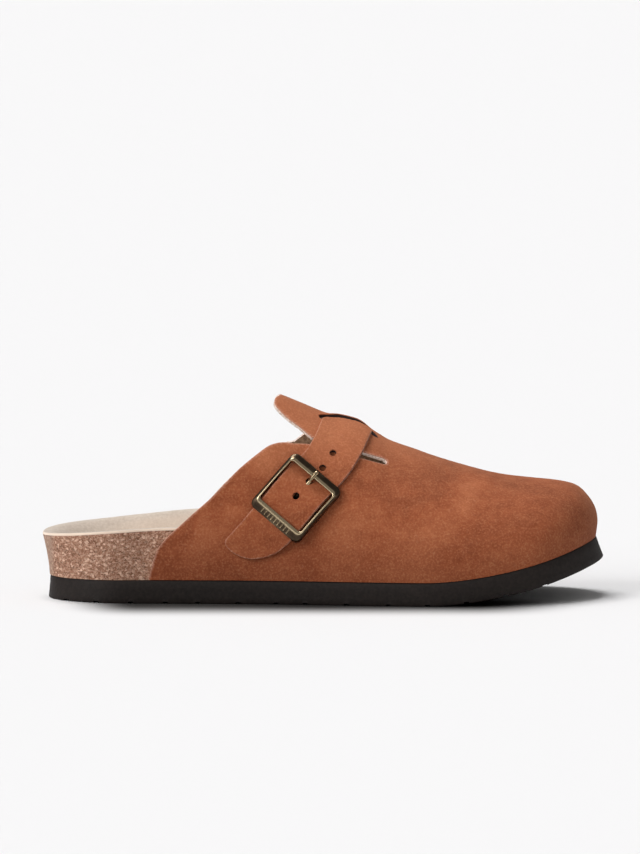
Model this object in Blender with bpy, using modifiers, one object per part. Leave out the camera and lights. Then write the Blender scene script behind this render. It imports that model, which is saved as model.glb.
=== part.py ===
"""Right clog slipper: lugged outsole, cork footbed, suede lining, one-piece suede upper with an instep flap,
and a strap that runs through a slot to a square buckle. Toe to +X, outer (lateral) side to -Y, metres."""

import math

import bmesh
import bpy
import numpy as np
from mathutils import Matrix, Vector

# Outsole
SOLE_LENGTH = 0.2673
BALL_WIDTH = 0.099
SOLE_THICKNESS = 0.011
TOE_SPRING = 0.0186
SPRING_START = 0.675
SPRING_POWER = 1.7
GROOVE_WIDTH = 0.0024
GROOVE_DEPTH = 0.001

# Footbed and lining
BED_RISE = 0.025
HEEL_FLARE = 0.0033
HEEL_PROUD = 0.0004
INSOLE_THICKNESS = 0.0012

# Upper
FLAP_RISE = 0.085
WALL = 0.002
UPPER_SETBACK = 0.0002
SLIT_WIDTH = 0.0024
SLOT_WIDTH = 0.0082

# Strap
STRAP_WIDTH = 0.0238
STRAP_THICKNESS = 0.002
HOLE_DIAMETER = 0.0032
HOLE_PITCH = 0.0093
HOLE_COUNT = 4

# Buckle. Pin place: share of the strap's outer run, from the slot to the free end.
PIN_PLACE = 0.610
WINDOW_LENGTH = 0.0242
FRAME_CLEARANCE = 0.0012
BAR_UPPER = 0.0042
BAR_LOWER = 0.0052
BAR_SIDE = 0.0006
FRAME_RIM = 0.0010
FRAME_CORNER = 0.0022
UPPER_DROP = 0.0016
SIDE_DROP = 0.0018
LOWER_DROP = 0.0005
PIN_DIAMETER = 0.0016
PRONG_DIAMETER = 0.0018
TAB_THICKNESS = 0.0008
TAB_WIDTH = 0.019
TAB_LENGTH = 0.020

# Hump of the strap over the pin: half length of its crest, and how far it runs towards the slot and the end.
HUMP_CREST = 0.002
HUMP_UP = 0.016
HUMP_DOWN = 0.013
TONGUE_RAMP = 0.006

# Fit between neighbouring pieces
GAP = 0.0003
CURVED_FIT = 0.0005
TUCK_FIT = 0.0008

# Fits that follow from the sizes above
EYE_RADIUS = PIN_DIAMETER / 2 + GAP + TAB_THICKNESS
PIN_HEIGHT = GAP + EYE_RADIUS
TONGUE_TOP = GAP + 2 * TAB_THICKNESS
STRAP_LIFT = PIN_HEIGHT + EYE_RADIUS + GAP
FRAME_TOP = STRAP_LIFT + STRAP_THICKNESS
FRAME_BASE = PIN_HEIGHT - PIN_DIAMETER / 2

# Shares: where the upper's pattern starts along the sole, how far its flat outline runs past the feather,
# how far a section bellies out, and the rings of the footbed's hollow from its middle to its rim.
PATTERN_START = 0.16
PATTERN_OVERRUN = 1.3
BELLY = 0.03
BED_SCALES = (0.0, 0.30, 0.48, 0.58, 0.68, 0.78, 0.87, 0.94, 1.0)

# Height of the flat pattern for one unit of girth, which only spreads it for cutting
GIRTH_SCALE = 0.1

# Mesh fineness
MERGE = 0.000001
WELD = 0.00002
PLAN_STEPS = 30
GIRTH_STEPS = 12
RIDGE_CROWDING = 1.35
ARC_STEPS = 28
FRAME_STEP = 0.006

SUEDE = (0.235, 0.085, 0.032, 1.0)
SUEDE_STRAP = (0.250, 0.090, 0.034, 1.0)
CORK = (0.330, 0.215, 0.125, 1.0)
LINING = (0.520, 0.420, 0.300, 1.0)
FOAM = (0.022, 0.015, 0.012, 1.0)
BRASS = (0.180, 0.135, 0.070, 1.0)


def table(columns, *rows):
    """Return a dict of named columns from rows of numbers."""
    return dict(zip(columns, np.array(rows, dtype=float).T))


# Plan outline of the outsole's lower edge. Station: share of the sole's length from the heel.
# Lateral, medial: edge positions as shares of the ball width. Lean: how far the upper edge of the sole
# stands in, as a share of its thickness.
OUTLINE = table(
    ("station", "lateral", "medial", "lean"),
    (0.000, 0.000, 0.000, 0.09),
    (0.037, -0.235, 0.230, 0.08),
    (0.131, -0.345, 0.340, 0.05),
    (0.224, -0.357, 0.345, 0.05),
    (0.337, -0.372, 0.330, 0.05),
    (0.449, -0.406, 0.340, 0.05),
    (0.561, -0.457, 0.391, 0.05),
    (0.673, -0.496, 0.462, 0.05),
    (0.748, -0.500, 0.495, 0.05),
    (0.823, -0.476, 0.500, 0.06),
    (0.898, -0.396, 0.462, 0.12),
    (0.954, -0.245, 0.371, 0.22),
    (1.000, 0.089, 0.089, 0.33),
)

# Footbed. Rims and floor: rise above the sole's top as shares of the bed's rise. Cover: 0 where the cork is
# bare and flush with the sole, 1 where the upper's wall stands outside it.
BED = table(
    ("station", "lateral_rim", "medial_rim", "floor", "cover"),
    (0.000, 0.82, 0.82, 0.40, 0.00),
    (0.045, 0.88, 0.89, 0.40, 0.04),
    (0.131, 0.96, 0.98, 0.41, 0.45),
    (0.190, 0.99, 1.06, 0.44, 0.96),
    (0.224, 1.00, 1.10, 0.46, 1.00),
    (0.330, 0.94, 1.14, 0.55, 1.00),
    (0.449, 0.74, 0.92, 0.52, 1.00),
    (0.561, 0.56, 0.64, 0.42, 1.00),
    (0.711, 0.46, 0.48, 0.34, 1.00),
    (0.860, 0.40, 0.40, 0.28, 1.00),
    (0.954, 0.32, 0.32, 0.24, 1.00),
    (1.000, 0.24, 0.24, 0.20, 1.00),
)

# The last, as the upper's outer face. Station: share of its length from the heel. Ridge rise: share of the
# flap's rise above the sole. Ridge side: share of the ball width. Side, top: handle lengths of a
# half-section's curve, as shares of its height and width.
LAST = table(
    ("station", "ridge_rise", "ridge_side", "side", "top"),
    (0.100, 1.120, 0.000, 0.50, 0.62),
    (0.304, 1.080, 0.005, 0.50, 0.62),
    (0.426, 1.013, 0.015, 0.48, 0.62),
    (0.469, 0.958, 0.020, 0.48, 0.62),
    (0.507, 0.908, 0.025, 0.48, 0.61),
    (0.545, 0.878, 0.028, 0.48, 0.60),
    (0.575, 0.845, 0.032, 0.48, 0.58),
    (0.598, 0.800, 0.036, 0.49, 0.57),
    (0.624, 0.752, 0.040, 0.50, 0.56),
    (0.674, 0.697, 0.046, 0.51, 0.55),
    (0.731, 0.628, 0.054, 0.53, 0.55),
    (0.792, 0.549, 0.063, 0.55, 0.56),
    (0.832, 0.499, 0.069, 0.56, 0.58),
    (0.883, 0.443, 0.076, 0.58, 0.60),
    (0.934, 0.382, 0.083, 0.60, 0.62),
    (0.968, 0.308, 0.087, 0.60, 0.62),
    (0.984, 0.228, 0.088, 0.60, 0.62),
    (1.000, 0.058, 0.089, 0.60, 0.62),
)

# Collar seen from the side, from the feather line up to the flap's root. Station: share of the sole's length.
# Rise: share of the flap's rise above the sole.
COLLAR_LATERAL = table(
    ("station", "rise"),
    (0.180, -0.010),
    (0.190, 0.070),
    (0.201, 0.158),
    (0.215, 0.224),
    (0.238, 0.302),
    (0.263, 0.378),
    (0.288, 0.448),
    (0.308, 0.511),
    (0.329, 0.579),
    (0.349, 0.640),
    (0.370, 0.693),
    (0.391, 0.742),
    (0.411, 0.768),
    (0.428, 0.771),
    (0.443, 0.765),
)
COLLAR_MEDIAL = table(
    ("station", "rise"),
    (0.214, -0.010),
    (0.232, 0.120),
    (0.255, 0.250),
    (0.282, 0.360),
    (0.312, 0.470),
    (0.345, 0.570),
    (0.380, 0.655),
    (0.418, 0.715),
    (0.443, 0.735),
)

# Instep flap, half of it: from its lateral root round to the middle of its tip. Station: share of the sole's
# length. Girth: share of the half-girth from the ridge.
FLAP = table(
    ("station", "girth"),
    (0.474, 0.277),
    (0.464, 0.259),
    (0.452, 0.236),
    (0.438, 0.215),
    (0.428, 0.197),
    (0.416, 0.168),
    (0.409, 0.142),
    (0.407, 0.115),
    (0.4095, 0.075),
    (0.415, 0.035),
    (0.418, 0.000),
)

# Slit below the strap: middle line, from the notch at the flap's root forward. Columns as for the collar.
SLIT = table(
    ("station", "rise"),
    (0.472, 0.778),
    (0.500, 0.752),
    (0.545, 0.713),
    (0.602, 0.662),
)

# Strap slot: middle line of a crescent on the lateral side of the ridge.
SLOT = table(
    ("station", "girth"),
    (0.487, -0.120),
    (0.497, -0.092),
    (0.521, -0.068),
    (0.550, -0.062),
    (0.577, -0.074),
    (0.593, -0.110),
)

# Strap's middle line, from inside the medial wall over the ridge. Station: share of the sole's length.
# Girth: share of the half-girth from the ridge.
STRAP_INSIDE = table(
    ("station", "girth"),
    (0.554, 0.300),
    (0.551, 0.200),
    (0.547, 0.100),
    (0.543, 0.000),
)

# The same line seen from the side, down the lateral face to the free end. Columns as for the collar.
STRAP_OUTSIDE = table(
    ("station", "rise"),
    (0.535, 0.848),
    (0.525, 0.780),
    (0.514, 0.712),
    (0.495, 0.628),
    (0.473, 0.556),
    (0.452, 0.482),
    (0.402, 0.309),
    (0.347, 0.119),
)

# Free end of the strap: an oblique round tip. Across: share of the half width, from the heel's side to the
# toe's. Drop: how far the end stays short of the longest point, as a share of the strap's width.
STRAP_TIP = table(
    ("across", "drop"),
    (-1.00, 0.10),
    (-0.90, 0.03),
    (-0.50, 0.00),
    (0.00, 0.07),
    (0.33, 0.18),
    (0.60, 0.34),
    (0.82, 0.52),
    (0.94, 0.70),
    (1.00, 0.90),
)

# Tread grooves across the sole, as shares of its length.
GROOVES = (0.035, 0.088, 0.150, 0.212, 0.270, 0.342, 0.410, 0.462, 0.535, 0.610, 0.680, 0.750, 0.820, 0.890)


def spline(stations, values, at):
    """Evaluate a smooth curve through rising stations (Akima slopes, so flat runs stay flat)."""
    x = np.asarray(stations, dtype=float)
    y = np.asarray(values, dtype=float)
    at = np.clip(np.asarray(at, dtype=float), x[0], x[-1])
    if len(x) == 2:
        return np.interp(at, x, y)
    steps = np.diff(y) / np.diff(x)
    first = 2 * steps[0] - steps[1]
    last = 2 * steps[-1] - steps[-2]
    padded = np.concatenate(([2 * first - steps[0], first], steps, [last, 2 * last - steps[-1]]))
    before = np.abs(padded[3:] - padded[2:-1])
    after = np.abs(padded[1:-2] - padded[:-3])
    total = before + after
    even = total < 1e-9
    total[even] = 1
    slope = (before * padded[1:-2] + after * padded[2:-1]) / total
    slope[even] = 0.5 * (padded[1:-2] + padded[2:-1])[even]
    cell = np.clip(np.searchsorted(x, at, side="right") - 1, 0, len(x) - 2)
    width = x[cell + 1] - x[cell]
    t = (at - x[cell]) / width
    near = y[cell] * (1 + 2 * t) * (1 - t) ** 2 + slope[cell] * width * t * (1 - t) ** 2
    far = y[cell + 1] * t * t * (3 - 2 * t) + slope[cell + 1] * width * t * t * (t - 1)
    return near + far


def turn(share):
    """Return the angle share of a station, which spreads the rounded ends of an outline."""
    return np.arccos(1 - 2 * np.clip(share, 0, 1)) / math.pi


def station_of(turned):
    """Return the station share of an angle share."""
    return (1 - np.cos(math.pi * np.asarray(turned))) / 2


def read(rows, name, station):
    """Read a column of a table at station shares, smooth in the turned station."""
    return spline(turn(rows["station"]), rows[name], turn(station))


OVERHANG = HEEL_FLARE - HEEL_PROUD - float(OUTLINE["lean"][0]) * SOLE_THICKNESS
HEEL_X = OVERHANG - (SOLE_LENGTH + OVERHANG) / 2
LAST_LENGTH = SOLE_LENGTH - float(OUTLINE["lean"][-1]) * SOLE_THICKNESS - UPPER_SETBACK


def sole_bottom(x):
    """Height of the tread at a distance from the heel."""
    start = SPRING_START * SOLE_LENGTH
    share = np.clip((np.asarray(x, dtype=float) - start) / (SOLE_LENGTH - start), 0, 1.2)
    return TOE_SPRING * share ** SPRING_POWER


def sole_top(x):
    """Height of the outsole's upper face."""
    return sole_bottom(x) + SOLE_THICKNESS


def plan_line(side, inset, steps=240):
    """Return one side of the plan outline, heel to toe, moved in by an inset for each station share."""
    station = station_of(np.linspace(0, 1, steps + 1))
    x = station * SOLE_LENGTH
    y = read(OUTLINE, side, station) * BALL_WIDTH
    dx = np.gradient(x)
    dy = np.gradient(y)
    inward = 1 if side == "lateral" else -1
    dx[0] = dx[-1] = 0
    dy[0] = -inward
    dy[-1] = inward
    length = np.hypot(dx, dy)
    amount = inset(station, side)
    return x - inward * amount * dy / length, y + inward * amount * dx / length, station


def lean(station, side):
    """Inset of the outsole's upper edge, read along the plain length so that the tip stays foremost."""
    return spline(OUTLINE["station"], OUTLINE["lean"], station) * SOLE_THICKNESS


def feather_inset(station, side):
    """Inset of the upper's outer face where it meets the outsole."""
    return lean(station, side) + UPPER_SETBACK


def bed_inset(station, side):
    """Inset of the cork's foot: bare and proud at the heel, inside the upper's wall elsewhere."""
    cover = np.clip(read(BED, "cover", station), 0, 1)
    return lean(station, side) - HEEL_PROUD + cover * (HEEL_PROUD + UPPER_SETBACK + WALL + CURVED_FIT)


FEATHER = {side: plan_line(side, feather_inset) for side in ("lateral", "medial")}


def bezier(a, b, c, d, t):
    """Return a cubic curve's values."""
    s = 1 - t
    return a * s ** 3 + 3 * b * s * s * t + 3 * c * s * t * t + d * t ** 3


def half_section(x, side):
    """Return the outer face of one half-section as arrays y, z, from the ridge down to the feather."""
    share = x / LAST_LENGTH
    line_x, line_y, _ = FEATHER[side]
    foot_y = float(np.interp(x, line_x, line_y))
    foot_z = float(sole_top(x)) + GAP
    ridge_z = float(sole_top(x)) + float(read(LAST, "ridge_rise", share)) * FLAP_RISE
    ridge_y = float(read(LAST, "ridge_side", share)) * BALL_WIDTH
    nose = float(FEATHER[side][1][-1])
    blend = min(1.0, max(0.0, (share - 0.9) / 0.1)) ** 2
    ridge_y += (nose - ridge_y) * blend
    height = ridge_z - foot_z
    width = foot_y - ridge_y
    t = np.linspace(0, 1, ARC_STEPS + 1)
    side_handle = float(read(LAST, "side", share)) * height
    top_handle = float(read(LAST, "top", share)) * width
    y = bezier(ridge_y, ridge_y + top_handle, foot_y + BELLY * width, foot_y, t)
    z = bezier(ridge_z, ridge_z, foot_z + side_handle, foot_z, t)
    return y, z


SECTIONS = {}


def section(x, side):
    """Return a half-section with its arc shares, kept for reuse."""
    key = (round(float(x), 6), side)
    if key not in SECTIONS:
        y, z = half_section(float(x), side)
        arc = np.concatenate(([0], np.cumsum(np.hypot(np.diff(y), np.diff(z)))))
        SECTIONS[key] = (arc / max(arc[-1], MERGE), y, z, arc[-1])
    return SECTIONS[key]


def skin(x, girth):
    """Point on the upper's outer face: x from the heel, girth -1 lateral feather, 0 ridge, 1 medial feather."""
    side = "lateral" if girth < 0 else "medial"
    share, y, z, _ = section(x, side)
    amount = min(abs(girth), 1.0)
    point = np.array((x, np.interp(amount, share, y), np.interp(amount, share, z)))
    if abs(girth) > 1:
        point[2] -= (abs(girth) - 1) * section(x, side)[3]
    return point


def skin_slopes(x, girth):
    """Return the tangent along x, the tangent along girth and the outward unit normal."""
    step_x = 0.0006
    step_g = 0.02
    along = (skin(x + step_x, girth) - skin(x - step_x, girth)) / (2 * step_x)
    across = (skin(x, girth + step_g) - skin(x, girth - step_g)) / (2 * step_g)
    normal = np.cross(along, across)
    return along, across, normal / np.linalg.norm(normal)


def girth_at(x, height, side):
    """Return the girth share at which a half-section reaches a height."""
    share, _, z, _ = section(x, side)
    sign = -1 if side == "lateral" else 1
    if height < z[-1]:
        return sign * (1 + (z[-1] - height) / section(x, side)[3])
    return sign * float(np.interp(-height, -z, share))


def flank_inset(part):
    """Return the inset of the footbed's edge part of the way up to its rim.

    The bare heel flares out, and under the upper the edge follows the wall as it leans in.
    """

    def inset(station, side):
        """Inset at station shares on one side."""
        cover = np.clip(read(BED, "cover", station), 0, 1)
        rises = read(BED, f"{side}_rim", station) * BED_RISE * part
        line_x, line_y, _ = FEATHER[side]
        slope = np.gradient(line_y, line_x + np.arange(len(line_x)) * MERGE)
        room = []
        for share, rise in zip(station, rises):
            x = min(max(share * SOLE_LENGTH, PATTERN_START * SOLE_LENGTH), LAST_LENGTH * 0.999)
            _, y, z, _ = section(x, side)
            lean_in = abs(y[-1]) - abs(float(np.interp(-(z[-1] + rise), -z, y)))
            square = 1 / math.hypot(1, float(np.interp(x, line_x, slope)))
            room.append(max(lean_in, 0) * square)
        return bed_inset(station, side) + cover * np.array(room) - HEEL_FLARE * (1 - cover) * part ** 1.5

    return inset


def place(point):
    """Move a point from heel coordinates to the part's frame."""
    return Vector((point[0] + HEEL_X, point[1], point[2]))


def material(name, colour, roughness, metallic=0.0):
    """Create one Principled material."""
    made = bpy.data.materials.new(name)
    made.use_nodes = True
    shader = made.node_tree.nodes["Principled BSDF"]
    shader.inputs["Base Color"].default_value = colour
    shader.inputs["Roughness"].default_value = roughness
    shader.inputs["Metallic"].default_value = metallic
    made.diffuse_color = colour
    return made


def finish(bm, name, collection, made):
    """Turn a bmesh into a named object with outward faces."""
    bmesh.ops.remove_doubles(bm, verts=bm.verts, dist=MERGE)
    bmesh.ops.dissolve_degenerate(bm, edges=bm.edges, dist=MERGE)
    bmesh.ops.recalc_face_normals(bm, faces=bm.faces)
    mesh = bpy.data.meshes.new(name)
    bm.to_mesh(mesh)
    bm.free()
    obj = bpy.data.objects.new(name, mesh)
    collection.objects.link(obj)
    if made:
        mesh.materials.append(made)
    mesh.shade_smooth()
    mesh.set_sharp_from_angle(angle=math.radians(40))
    return obj


def as_cutter(obj):
    """Mark an object as a construction guide."""
    obj.hide_render = True
    obj.display_type = "WIRE"


def boolean(obj, cutter, operation="DIFFERENCE"):
    """Cut or join with the exact solver."""
    change = obj.modifiers.new(operation.title(), "BOOLEAN")
    change.object = cutter
    change.operation = operation
    change.solver = "EXACT"


def bake(obj):
    """Replace an object's mesh by its evaluated mesh."""
    depsgraph = bpy.context.evaluated_depsgraph_get()
    mesh = bpy.data.meshes.new_from_object(obj.evaluated_get(depsgraph))
    old = obj.data
    obj.modifiers.clear()
    obj.data = mesh
    bpy.data.meshes.remove(old)


def ring_points(inset, scale, height):
    """Return a closed ring of points: the outline with an inset, drawn to the middle line by a scale.

    height is a function of x, the station share, the side and the scale.
    """
    turned = np.linspace(0, 1, PLAN_STEPS + 1)
    stations = station_of(turned)
    half = {}
    for side in ("lateral", "medial"):
        line_x, line_y, line_station = plan_line(side, inset)
        line_turn = turn(line_station)
        half[side] = (np.interp(turned, line_turn, line_x), np.interp(turned, line_turn, line_y))
    spine_x = np.clip(stations * SOLE_LENGTH, BALL_WIDTH / 3, SOLE_LENGTH - BALL_WIDTH / 3)
    spine_share = spine_x / SOLE_LENGTH
    spine_y = (read(OUTLINE, "lateral", spine_share) + read(OUTLINE, "medial", spine_share)) * BALL_WIDTH / 2
    points = []
    for side, order in (("lateral", range(PLAN_STEPS + 1)), ("medial", range(PLAN_STEPS - 1, 0, -1))):
        for i in order:
            x = spine_x[i] + (half[side][0][i] - spine_x[i]) * scale
            y = spine_y[i] + (half[side][1][i] - spine_y[i]) * scale
            points.append(place((x, y, height(x, float(stations[i]), side, scale))))
    return points


def ring_body(rings):
    """Return a bmesh closed by bridging successive rings; the first and last rings lie on the middle line."""
    bm = bmesh.new()
    loops = [[bm.verts.new(point) for point in ring] for ring in rings]
    for low, high in zip(loops, loops[1:]):
        count = len(low)
        for i in range(count):
            j = (i + 1) % count
            bm.faces.new((low[i], low[j], high[j], high[i]))
    return bm


def bed_height(x, share, side, scale):
    """Height of the insole's upper face: a flat floor that rises smoothly to the rim."""
    rim = float(read(BED, f"{side}_rim", share))
    floor_here = float(read(BED, "floor", np.clip(x / SOLE_LENGTH, 0, 1)))
    ramp = min(1.0, max(0.0, (scale - 0.42) / 0.50))
    rise = floor_here + (rim - floor_here) * ramp * ramp * (3 - 2 * ramp)
    return float(sole_top(min(x, SOLE_LENGTH))) + rise * BED_RISE


def below_bed(depth):
    """Return a height function that lies a depth under the insole's face, square to its slope."""

    def height(x, share, side, scale):
        """Height of the lowered face."""
        step = 0.01
        half_width = BALL_WIDTH / 3
        rise = bed_height(x, share, side, scale + step) - bed_height(x, share, side, scale - step)
        slope = rise / (2 * step * half_width)
        return bed_height(x, share, side, scale) - depth * min(math.hypot(1, slope), 1.6)

    return height


def build_outsole(collection, cutters, made):
    """Outsole with a leaning edge, toe spring and transverse tread grooves."""

    def bottom(x, share, side, scale):
        """Height of the tread."""
        return float(sole_bottom(x))

    def top(x, share, side, scale):
        """Height of the upper face."""
        return float(sole_top(x))

    def none(station, side):
        """Lower edge of the outsole, with no inset."""
        return np.zeros_like(station)

    rings = [ring_points(none, scale, bottom) for scale in (0.0, 0.5, 1.0)]
    rings += [ring_points(lean, scale, top) for scale in (1.0, 0.5, 0.0)]
    obj = finish(ring_body(rings), "outsole", collection, made)
    bm = bmesh.new()
    for share in GROOVES:
        x = share * SOLE_LENGTH
        slope = float(sole_bottom(x + 0.001) - sole_bottom(x - 0.001)) / 0.002
        turned = Matrix.Rotation(-math.atan(slope), 4, "Y")
        moved = Matrix.Translation(place((x, 0, float(sole_bottom(x)) - GROOVE_DEPTH)))
        size = Matrix.Diagonal((GROOVE_WIDTH, BALL_WIDTH * 1.2, GROOVE_DEPTH * 4, 1))
        bmesh.ops.create_cube(bm, size=1, matrix=moved @ turned @ size)
    cutter = finish(bm, "tread_cutter", cutters, None)
    as_cutter(cutter)
    boolean(obj, cutter)
    return obj


def build_footbed(collection, made):
    """Cork footbed: flat foot on the outsole, flared heel edge and a hollow upper face."""
    depth = INSOLE_THICKNESS + GAP
    lowered = below_bed(depth)

    def foot(x, share, side, scale):
        """Height of the cork's foot."""
        return float(sole_top(x)) + GAP

    def flank_height(part):
        """Return the height of a ring part of the way up the edge."""

        def height(x, share, side, scale):
            """Height between foot and rim."""
            low = foot(x, share, side, scale)
            return low + (lowered(x, share, side, scale) - low) * part

        return height

    rings = [ring_points(bed_inset, scale, foot) for scale in (0.0, 0.5)]
    rings += [ring_points(flank_inset(part), 1.0, flank_height(part)) for part in (0.0, 0.35, 0.7)]
    rings += [ring_points(flank_inset(1.0), scale, lowered) for scale in reversed(BED_SCALES)]
    return finish(ring_body(rings), "footbed", collection, made)


def build_insole(collection, made):
    """Thin lining sheet that follows the footbed's hollow out to the rim."""
    lowered = below_bed(INSOLE_THICKNESS)
    rim = flank_inset(1.0)
    rings = [ring_points(rim, scale, lowered) for scale in BED_SCALES]
    rings += [ring_points(rim, scale, bed_height) for scale in reversed(BED_SCALES)]
    return finish(ring_body(rings), "insole", collection, made)


def flat_path(rows, side=None):
    """Return flat pattern points (x, girth) of a table, from heights where it has a rise."""
    points = []
    for i, share in enumerate(rows["station"]):
        x = share * SOLE_LENGTH
        if side:
            height = float(sole_top(x)) + rows["rise"][i] * FLAP_RISE
            points.append((x, girth_at(x, height, side)))
        else:
            points.append((x, rows["girth"][i]))
    return np.array(points)


def smooth_path(points, count):
    """Return evenly spread points on a smooth curve through a path of flat points."""
    arc = np.concatenate(([0], np.cumsum(np.hypot(np.diff(points[:, 0]) * 10, np.diff(points[:, 1])))))
    at = np.linspace(0, arc[-1], count)
    return np.stack([spline(arc, points[:, 0], at), spline(arc, points[:, 1], at)], axis=1)


def flat_step(x, girth, direction):
    """Return the flat move (dx, dgirth) of a small move along a tangent direction in space."""
    along, across, _ = skin_slopes(x, girth)
    moves, *_ = np.linalg.lstsq(np.stack([along, across], axis=1), direction, rcond=None)
    return moves


def side_of_path(path, index, offset):
    """Return a path point moved sideways on the skin by an offset, positive to the left of the run."""
    before = path[max(index - 1, 0)]
    after = path[min(index + 1, len(path) - 1)]
    run = skin(*after) - skin(*before)
    _, _, normal = skin_slopes(*path[index])
    sideways = np.cross(normal, run / np.linalg.norm(run))
    return path[index] + flat_step(*path[index], sideways * offset)


def stadium(path, width):
    """Return the closed flat outline of a band of constant width with round ends."""
    outline = []
    last = len(path) - 1

    def end(index, inner):
        """Return a round end: points swept half a turn around the path's end."""
        run = skin(*path[index]) - skin(*path[inner])
        run /= np.linalg.norm(run)
        _, _, normal = skin_slopes(*path[index])
        sideways = np.cross(normal, run)
        sweep = []
        for k in range(1, 6):
            angle = math.pi * k / 6
            move = (-sideways * math.cos(angle) + run * math.sin(angle)) * width / 2
            sweep.append(path[index] + flat_step(*path[index], move))
        return sweep

    for i in range(last + 1):
        outline.append(side_of_path(path, i, -width / 2))
    outline += end(last, last - 1)
    for i in range(last, -1, -1):
        outline.append(side_of_path(path, i, width / 2))
    return outline + end(0, 1)


def flat_prism(name, outlines, cutters, reach=1.0):
    """Return a cutter made of flat outlines extruded through the pattern plane."""
    bm = bmesh.new()
    for outline in outlines:
        low = [bm.verts.new((x, girth * GIRTH_SCALE, -reach)) for x, girth in outline]
        high = [bm.verts.new((x, girth * GIRTH_SCALE, reach)) for x, girth in outline]
        bm.faces.new(low)
        bm.faces.new(high)
        for i in range(len(low)):
            j = (i + 1) % len(low)
            bm.faces.new((low[i], low[j], high[j], high[i]))
    obj = finish(bm, name, cutters, None)
    as_cutter(obj)
    return obj


def collar_outline():
    """Return the flat outline of the opening: lateral collar, slit, flap and medial collar."""
    lateral = smooth_path(flat_path(COLLAR_LATERAL, "lateral"), 24)
    medial = smooth_path(flat_path(COLLAR_MEDIAL, "medial"), 18)
    slit = smooth_path(flat_path(SLIT, "lateral"), 9)
    lower = [side_of_path(slit, i, -SLIT_WIDTH / 2) for i in range(len(slit))]
    upper = [side_of_path(slit, i, SLIT_WIDTH / 2) for i in range(len(slit))]
    if lower[3][1] > upper[3][1]:
        lower, upper = upper, lower
    run = skin(*slit[-1]) - skin(*slit[-2])
    front = slit[-1] + flat_step(*slit[-1], run / np.linalg.norm(run) * SLIT_WIDTH / 2)
    flap = flat_path(FLAP)
    flap = flap[flap[:, 0] < upper[0][0] + SLIT_WIDTH]
    flap_lateral = smooth_path(flap * (1, -1), 14)
    flap_medial = smooth_path(flap[1:], 14)
    start = PATTERN_START * SOLE_LENGTH - SLOT_WIDTH
    outline = [(start, -PATTERN_OVERRUN), (lateral[0][0], -PATTERN_OVERRUN)]
    outline += list(lateral)
    outline += lower + [front] + upper[::-1]
    outline += list(flap_lateral[1:])
    outline += list(flap_medial[::-1][1:])
    outline += list(medial[::-1])
    outline += [(medial[0][0], PATTERN_OVERRUN), (start, PATTERN_OVERRUN)]
    return outline


def slot_outline():
    """Return the flat outline of the strap slot."""
    return stadium(smooth_path(flat_path(SLOT), 12), SLOT_WIDTH)


def build_upper(collection, cutters, made):
    """Suede shell: a flat pattern cut to shape, laid on the last and given its wall inwards."""
    bm = bmesh.new()
    turned = np.linspace(float(turn(PATTERN_START)), 1, PLAN_STEPS + 6)
    stations = [float(s) * LAST_LENGTH for s in station_of(turned)]
    girths = [math.copysign(abs(i / GIRTH_STEPS) ** RIDGE_CROWDING, i)
              for i in range(-GIRTH_STEPS, GIRTH_STEPS + 1)]
    grid = {}
    for level in (-0.5, 0.5):
        for i, x in enumerate(stations):
            for j, girth in enumerate(girths):
                grid[level, i, j] = bm.verts.new((x, girth * GIRTH_SCALE, level))
    rows = len(stations) - 1
    columns = len(girths) - 1
    for level in (-0.5, 0.5):
        for i in range(rows):
            for j in range(columns):
                cell = ((i, j), (i + 1, j), (i + 1, j + 1), (i, j + 1))
                bm.faces.new([grid[level, a, b] for a, b in cell])
    border = [(i, 0) for i in range(rows)] + [(rows, j) for j in range(columns)]
    border += [(i, columns) for i in range(rows, 0, -1)] + [(0, j) for j in range(columns, 0, -1)]
    for k, (i, j) in enumerate(border):
        a, b = border[(k + 1) % len(border)]
        bm.faces.new((grid[-0.5, i, j], grid[-0.5, a, b], grid[0.5, a, b], grid[0.5, i, j]))
    obj = finish(bm, "upper", collection, made)
    boolean(obj, flat_prism("collar_cutter", [collar_outline()], cutters))
    boolean(obj, flat_prism("slot_cutter", [slot_outline()], cutters))
    bake(obj)
    bm = bmesh.new()
    bm.from_mesh(obj.data)
    low = [face for face in bm.faces if face.calc_center_median().z < 0.49]
    bmesh.ops.delete(bm, geom=low, context="FACES")
    for vert in bm.verts:
        vert.co = place(skin(min(vert.co.x, LAST_LENGTH), vert.co.y / GIRTH_SCALE))
    bmesh.ops.remove_doubles(bm, verts=bm.verts, dist=WELD)
    bmesh.ops.dissolve_degenerate(bm, edges=bm.edges, dist=WELD)
    bmesh.ops.triangulate(bm, faces=[face for face in bm.faces if len(face.verts) > 4])
    bmesh.ops.recalc_face_normals(bm, faces=bm.faces)
    bm.to_mesh(obj.data)
    bm.free()
    wall = obj.modifiers.new("Wall", "SOLIDIFY")
    wall.thickness = WALL
    wall.offset = -1
    wall.use_rim = True
    wall.use_even_offset = True
    obj.data.shade_smooth()
    obj.data.set_sharp_from_angle(angle=math.radians(40))
    return obj


def shifted(point, move, steps=4):
    """Return a flat point moved along the skin by a vector in space, in small steps."""
    flat = np.array(point, dtype=float)
    for _ in range(steps):
        flat = flat + flat_step(*flat, move / steps)
    return flat


def strap_path():
    """Return the strap's flat middle line, its arc lengths in space and the arc at the slot."""
    inside = flat_path(STRAP_INSIDE)
    outside = flat_path(STRAP_OUTSIDE, "lateral")
    path = smooth_path(np.concatenate([inside, outside]), 90)
    spots = np.array([skin(*flat) for flat in path])
    arc = np.concatenate(([0], np.cumsum(np.linalg.norm(np.diff(spots, axis=0), axis=1))))
    ridge = float(np.interp(0, -path[:, 1], arc))
    return path, arc, ridge


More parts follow.
